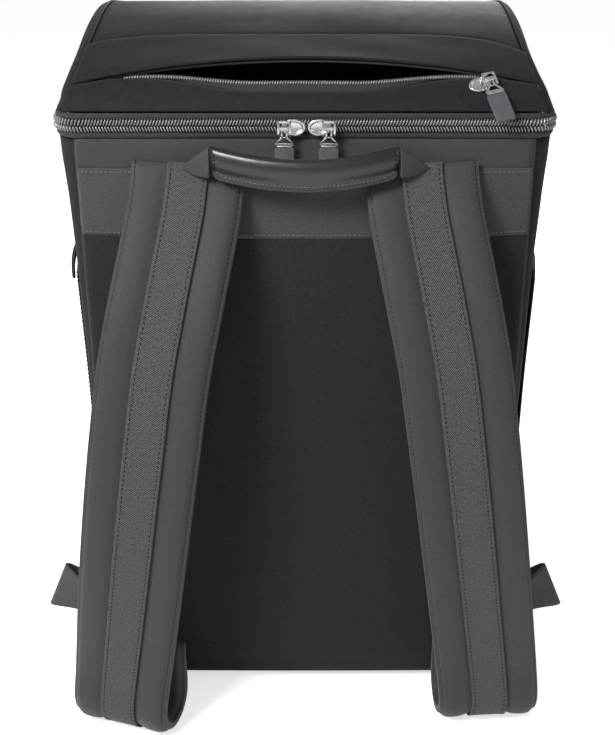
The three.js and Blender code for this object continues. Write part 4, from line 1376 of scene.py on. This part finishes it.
def strap_line(side, aside, lift):
    path = strap_paths[side]

    def line(share):
        point, across, out, thick = path.at(share)
        return point + across * aside + out * (VALLEY * thick / 2 + lift), out

    return line


def edge_line(side, aside):
    path = strap_paths[side]

    def line(share):
        point, across, out, thick = path.at(share)
        rise = lobe_half(aside) * thick / 2 + 0.1
        return point + across * side * aside + out * rise, out

    return line


EDGES = (("outer", 1), ("inner", -1))
for name, side in SIDES:
    for edge, way in EDGES:
        line = strap_line(side, side * way * WEB_STITCH_ASIDE, CLEARANCE + WEBBING + 0.05)
        length = strap_paths[side].length
        stitches(f"web_stitches_{edge}_{name}", line, length, 3.1, dark_thread)

for name, side in SIDES:
    for edge, way in EDGES:
        line = edge_line(side, way * EDGE_STITCH_ASIDE)
        length = strap_paths[side].length
        stitches(f"edge_stitches_{edge}_{name}", line, length, 2.9, dark_thread)


def band_line(z):
    def line(share):
        x = lerp(2 - PANEL_HALF, PANEL_HALF - 2, share)
        return Vector((x, BACK - panel_depth(x, z) - CLEARANCE - WEBBING - 0.35, z)), Vector((0, -1, 0))

    return line


for name, z in (("top", BAND_TOP - 2.2), ("bottom", BAND_BOTTOM + 2.2)):
    stitches(f"band_stitches_{name}", band_line(z), 2 * PANEL_HALF, 3.0, thread)


# %% Piping along a line
def piping(name, line, length, radius, material):
    """A thin sewn cord round a line; line(share) gives its middle and the way out of the cloth."""

    def place(u, v):
        point, out = line(v)
        step = (line(min(1, v + 0.004))[0] - line(max(0, v - 0.004))[0]).normalized()
        aside = step.cross(out).normalized()
        angle = 2 * math.pi * u
        return point + (out * math.cos(angle) + aside * math.sin(angle)) * radius

    mesh = shaped_grid(8, max(8, int(length / 4)), place, (0.005, length * MM))
    close_up(mesh)
    make_piece(name, mesh, material)


def lid_seam_cord(share):
    stop, out = gusset_stop(share)
    z = lid_top(stop.y - out.y * SEAM_INSET)
    return stop - seam_inset(stop, out) + Vector((0, 0, z - 0.2)), (out + Vector((0, 0, 1))).normalized()


piping("lid_seam_piping", lid_seam_cord, 600, 1.0, lining_cloth)
CORNER_SHARE = (
    WIDTH / 2 - BODY_CORNER + BODY_CORNER * math.pi * 0.75 + FRONT - TUB_BACK - 2 * BODY_CORNER
) / plan_length(WIDTH / 2, TUB_BACK, FRONT, BODY_CORNER)
BASE_SEAM = BASE_TURN_IN + 16.6


def corner_line(side):
    def line(share):
        point = Vector(body_place(0.5 + side * CORNER_SHARE, lerp(0.09, 0.995, share)))
        out = Vector((side, 1, 0)).normalized()
        return point + out * 0.4, out

    return line


def base_line(share):
    point = Vector(body_place(share, BASE_SEAM / BODY_UP))
    out = Vector((point.x / WIDTH, point.y / DEPTH, 0)).normalized()
    return point + out * 0.35, out


for name, side in SIDES:
    piping(f"front_seam_piping_{name}", corner_line(side), 370, 1.0, lining_cloth)
piping("base_seam_piping", base_line, 900, 1.0, lining_cloth)


# %% Hems on the gusset and side pockets, and the zip's end tabs
def hem_line(share):
    share = lerp(0.04, 0.96, share)
    point = Vector(gusset_place(share, 0.1))
    return point + gusset_stop(share)[1] * 0.2, gusset_stop(share)[1]


stitches("lid_hem_stitches", hem_line, 600, 3.2, thread, (2.2, 0.6, 0.5))


def pocket_edge_line(side, u):
    place = pocket_sheet(side, CLEARANCE + 1.6, 6, POCKET_HEIGHT + 5)

    def line(share):
        return Vector(place(u, share)), Vector((side, 0, 0))

    return line


for name, side in SIDES:
    for edge, u in (("back", 0.035), ("front", 0.965)):
        stitches(f"pocket_stitches_{edge}_{name}", pocket_edge_line(side, u), 310, 3.2, thread)


TAB_OVERLAP = 2.5


def end_tab_place(side):
    def place(u, v):
        point, out = plan_point(side * (ZIP_REACH + lerp(-7, 5, u)), *ZIP_PLAN)
        pillow = 0.8 * math.sin(math.pi * u) + 0.8 * math.sin(math.pi * v)
        z = lerp(BODY_HEIGHT - TAB_OVERLAP, LID_BASE + TAB_OVERLAP, v)
        return point + out * (ZIP_FLARE + 2.2 + pillow) + Vector((0, 0, z))

    return place


for name, side in SIDES:
    end_tab = cloth_piece(
        f"zip_end_tab_{name}", (10, 14), end_tab_place(side), (0.012, 0.02), band_twill, 3.2,
        inside=(0, 0, 0.42),
    )
    soften(end_tab)


# %% Stitch rows on lid and handle
def lid_row(inset, lift):
    """Beside the bowed seam of the lid; inset is how far the row lies on the flap's side of it."""

    def line(share):
        level = lerp(-SEAM_X + 5, SEAM_X - 5, share)
        y = seam_line(level) - inset
        x = level / SEAM_X * (LID_HALF - side_inset(y) - 1)
        slope = (lid_top(y + 1) - lid_top(y - 1)) / 2
        return Vector((x, y, lid_top(y) + lift)), Vector((0, -slope, 1)).normalized()

    return line


piping("lid_seam_groove", lid_row(0, -0.7), 2 * SEAM_X, 0.9, dark_thread)
stitches("seam_stitches", lid_row(3.4, 0.3), 2 * SEAM_X, 3.6, dark_thread, (3.0, 1.5, 1.0), 42)


def handle_line(inset):
    """Along the handle's lower edge, a little above it, turning up at both ends."""

    def line(share):
        x = lerp(-0.5, 0.5, share) * (HANDLE_SPAN - 2 * inset)
        up = 0.17 + 0.12 * max(0, abs(share - 0.5) * 2 - 0.9) * 10
        half = smooth_read(*HANDLE_SECTION, up) * HANDLE_THICKNESS / 2
        return handle_centre(x) + Vector((0, -half - 0.1, (up - 0.5) * HANDLE_HEIGHT)), Vector((0, -1, 0))

    return line


stitches("handle_stitches", handle_line(3), HANDLE_SPAN, 2.6, thread, (1.9, 0.6, 0.5))


def handle_end_line(side):
    def line(share):
        up = lerp(0.3, 0.86, share)
        half = smooth_read(*HANDLE_SECTION, up) * HANDLE_THICKNESS / 2
        point = handle_centre(side * (HANDLE_SPAN / 2 - 2.6))
        return point + Vector((0, -half - 0.05, (up - 0.5) * HANDLE_HEIGHT)), Vector((0, -1, 0.1))

    return line


for name, side in SIDES:
    stitches(f"handle_end_stitches_{name}", handle_end_line(side), 11, 2.4, dark_thread)

# %% [markdown]
# ## Sliders, pulls and tabs
#
# Each slider is a bright oval plate with a raised rim, and an arch over it that holds the pin. A flat
# pull with a cut-out hangs from the pin, and a slate rubber tab hangs from the pull. They are modelled
# lying at the origin and then carried to their place on the zip.

# %% Metal shapes
SLIDER_LENGTH = 14.5
SLIDER_HEIGHT = 10.2
BRIDGE_WIDTH = 8.5
BRIDGE_HEIGHT = 9.7
BRIDGE_BAR = 1.5
BRIDGE_OFFSET = 5.6
PIN_STANDOFF = 5
PULL_LENGTH = 11.5
PULL_WIDTH = 11
TAB = (12, 2, 20)


def bevel_all(mesh, width, segments, least_angle=20):
    """Rounds every edge that is sharper than an angle in degrees."""
    least = math.radians(least_angle)
    sharp = [e for e in mesh.edges if len(e.link_faces) == 2 and e.calc_face_angle(0) > least]
    round_edges(mesh, sharp, width, segments, True)


def pin(mesh, radius, length):
    """A round pin across the pull, through the origin, added to a mesh."""
    turn = Matrix.Rotation(math.radians(90), 4, "Y")
    bmesh.ops.create_cone(
        mesh, cap_ends=True, segments=16, radius1=radius * MM, radius2=radius * MM, depth=length * MM,
        matrix=turn,
    )


def bar(mesh, size, place):
    """A square bar in millimetres, added to a mesh."""
    matrix = Matrix.Translation(Vector(place) * MM) @ Matrix.Diagonal((*[s * MM for s in size], 1))
    bmesh.ops.create_cube(mesh, size=1, matrix=matrix)


def slider_mesh(side):
    mesh = bmesh.new()
    bmesh.ops.create_circle(mesh, cap_ends=True, segments=40, radius=0.5)
    bmesh.ops.scale(mesh, verts=mesh.verts, vec=(SLIDER_LENGTH * MM, SLIDER_HEIGHT * MM, 1))
    bmesh.ops.rotate(mesh, verts=mesh.verts, matrix=Matrix.Rotation(math.radians(90), 3, "X"))
    bmesh.ops.translate(mesh, verts=mesh.verts, vec=(-side * BRIDGE_OFFSET * MM, PIN_STANDOFF * MM, 0))
    made = bmesh.ops.extrude_face_region(mesh, geom=mesh.faces[:])
    front = [g for g in made["geom"] if isinstance(g, bmesh.types.BMVert)]
    bmesh.ops.translate(mesh, verts=front, vec=(0, -2.2 * MM, 0))
    bmesh.ops.recalc_face_normals(mesh, faces=mesh.faces)
    face = [f for f in mesh.faces if f.normal.y < -0.9]
    bmesh.ops.inset_region(mesh, faces=face, thickness=1.5 * MM, depth=0)
    face = [f for f in mesh.faces if f.normal.y < -0.9 and len(f.verts) > 8]
    bmesh.ops.inset_region(mesh, faces=face, thickness=0.4 * MM, depth=-0.9 * MM)
    bevel_all(mesh, 0.45, 3)
    return mesh


def bridge_mesh(side):
    mesh = bmesh.new()
    leg = (BRIDGE_WIDTH - BRIDGE_BAR) / 2
    top = BRIDGE_HEIGHT / 2 - BRIDGE_BAR / 2
    bar(mesh, (BRIDGE_WIDTH, BRIDGE_BAR, BRIDGE_BAR), (0, 0, top))
    for end in (-1, 1):
        bar(mesh, (BRIDGE_BAR, BRIDGE_BAR, BRIDGE_HEIGHT), (end * leg, 0, 0))
    bar(mesh, (BRIDGE_BAR, 3.9, BRIDGE_BAR), (-side * leg, 1.95, top - BRIDGE_BAR / 2))
    bevel_all(mesh, 0.4, 2)
    pin(mesh, 0.7, 7.4)
    return mesh


def slanted_bar(mesh, start, end, wide, thick):
    """A square bar between two points of the pull's plane."""
    low, high = Vector((start[0], 0, start[1])), Vector((end[0], 0, end[1]))
    turn = (high - low).to_track_quat("Z", "Y").to_matrix().to_4x4()
    size = Matrix.Diagonal((wide * MM, thick * MM, (high - low).length * MM, 1))
    bmesh.ops.create_cube(mesh, size=1, matrix=Matrix.Translation((low + high) / 2 * MM) @ turn @ size)


def pull_mesh():
    """A small frame: an eye on the pin, a neck, two slanted sides and a foot with a slit."""
    mesh = bmesh.new()
    foot = -PULL_LENGTH
    for side in (-1, 1):
        slanted_bar(mesh, (side * 1.5, -1.6), (side * 1.5, -5.4), 1.1, 1.3)
        slanted_bar(mesh, (side * 1.5, -5.0), (side * 4.7, -8.8), 1.3, 1.3)
        bar(mesh, (1.2, 1.2, 2.6), (side * (PULL_WIDTH / 2 - 0.6), 0, foot + 1.4))
    bar(mesh, (4.1, 1.2, 0.9), (0, 0, -5.2))
    bar(mesh, (PULL_WIDTH, 1.2, 1.0), (0, 0, foot + 2.4))
    bar(mesh, (PULL_WIDTH, 1.2, 1.0), (0, 0, foot + 0.5))
    bar(mesh, (PULL_WIDTH - 2, 0.5, 2), (0, 0.2, foot + 1.4))
    bevel_all(mesh, 0.3, 2, 30)
    pin(mesh, 1.6, 4.4)
    return mesh


def tab_mesh():
    mesh = bmesh.new()
    bmesh.ops.create_cube(mesh, size=1)
    bmesh.ops.scale(mesh, verts=mesh.verts, vec=[s * MM for s in TAB])
    upright = [e for e in mesh.edges if abs(e.verts[0].co.y - e.verts[1].co.y) > 0.001]
    round_edges(mesh, upright, 1.3, 4)
    bevel_all(mesh, 0.5, 3, 50)
    bmesh.ops.translate(mesh, verts=mesh.verts, vec=(0, 0, (-PULL_LENGTH - CLEARANCE - TAB[2] / 2) * MM))
    return mesh


# %% Carrying a puller to its place
# Edges sharper than this stay crisp; the rest is shaded smooth
CRISP_ANGLE = 35


def place_puller(name, side, matrix):
    parts = [
        (f"slider_plate_{name}", slider_mesh(side), nickel, "metal", "pack", [f"slider_{name}"]),
        (f"slider_bridge_{name}", bridge_mesh(side), nickel, "metal", "pack", []),
        (f"pull_plate_{name}", pull_mesh(), nickel, "metal", f"puller_{name}", [f"pull_{name}"]),
        (f"pull_tab_{name}", tab_mesh(), rubber, "tab", f"puller_{name}", [f"tab_{name}"]),
    ]
    for piece_name, mesh, material, slot, body, nodes in parts:
        bmesh.ops.transform(mesh, matrix=matrix, verts=mesh.verts)
        piece = make_piece(piece_name, mesh, material, body, nodes)
        piece.data.set_sharp_from_angle(angle=math.radians(CRISP_ANGLE))


for name, side in SIDES:
    reach = 0.6 + SLIDER_LENGTH / 2 + BRIDGE_OFFSET
    spot = Vector((0.9 + side * reach, BACK - 3.2 - CLEARANCE - PIN_STANDOFF, TEETH_MIDDLE))
    place_puller(name, side, Matrix.Translation(spot * MM))

lid_turn = Matrix.Rotation(math.radians(-50), 4, "X") @ Matrix.Rotation(math.radians(-15), 4, "Y")
# The pin of the lid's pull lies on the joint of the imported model
LID_PIN = Vector((112, -74.8, 445.97))
place_puller("lid", 1, Matrix.Translation(LID_PIN * MM) @ lid_turn)
print("pullers placed")
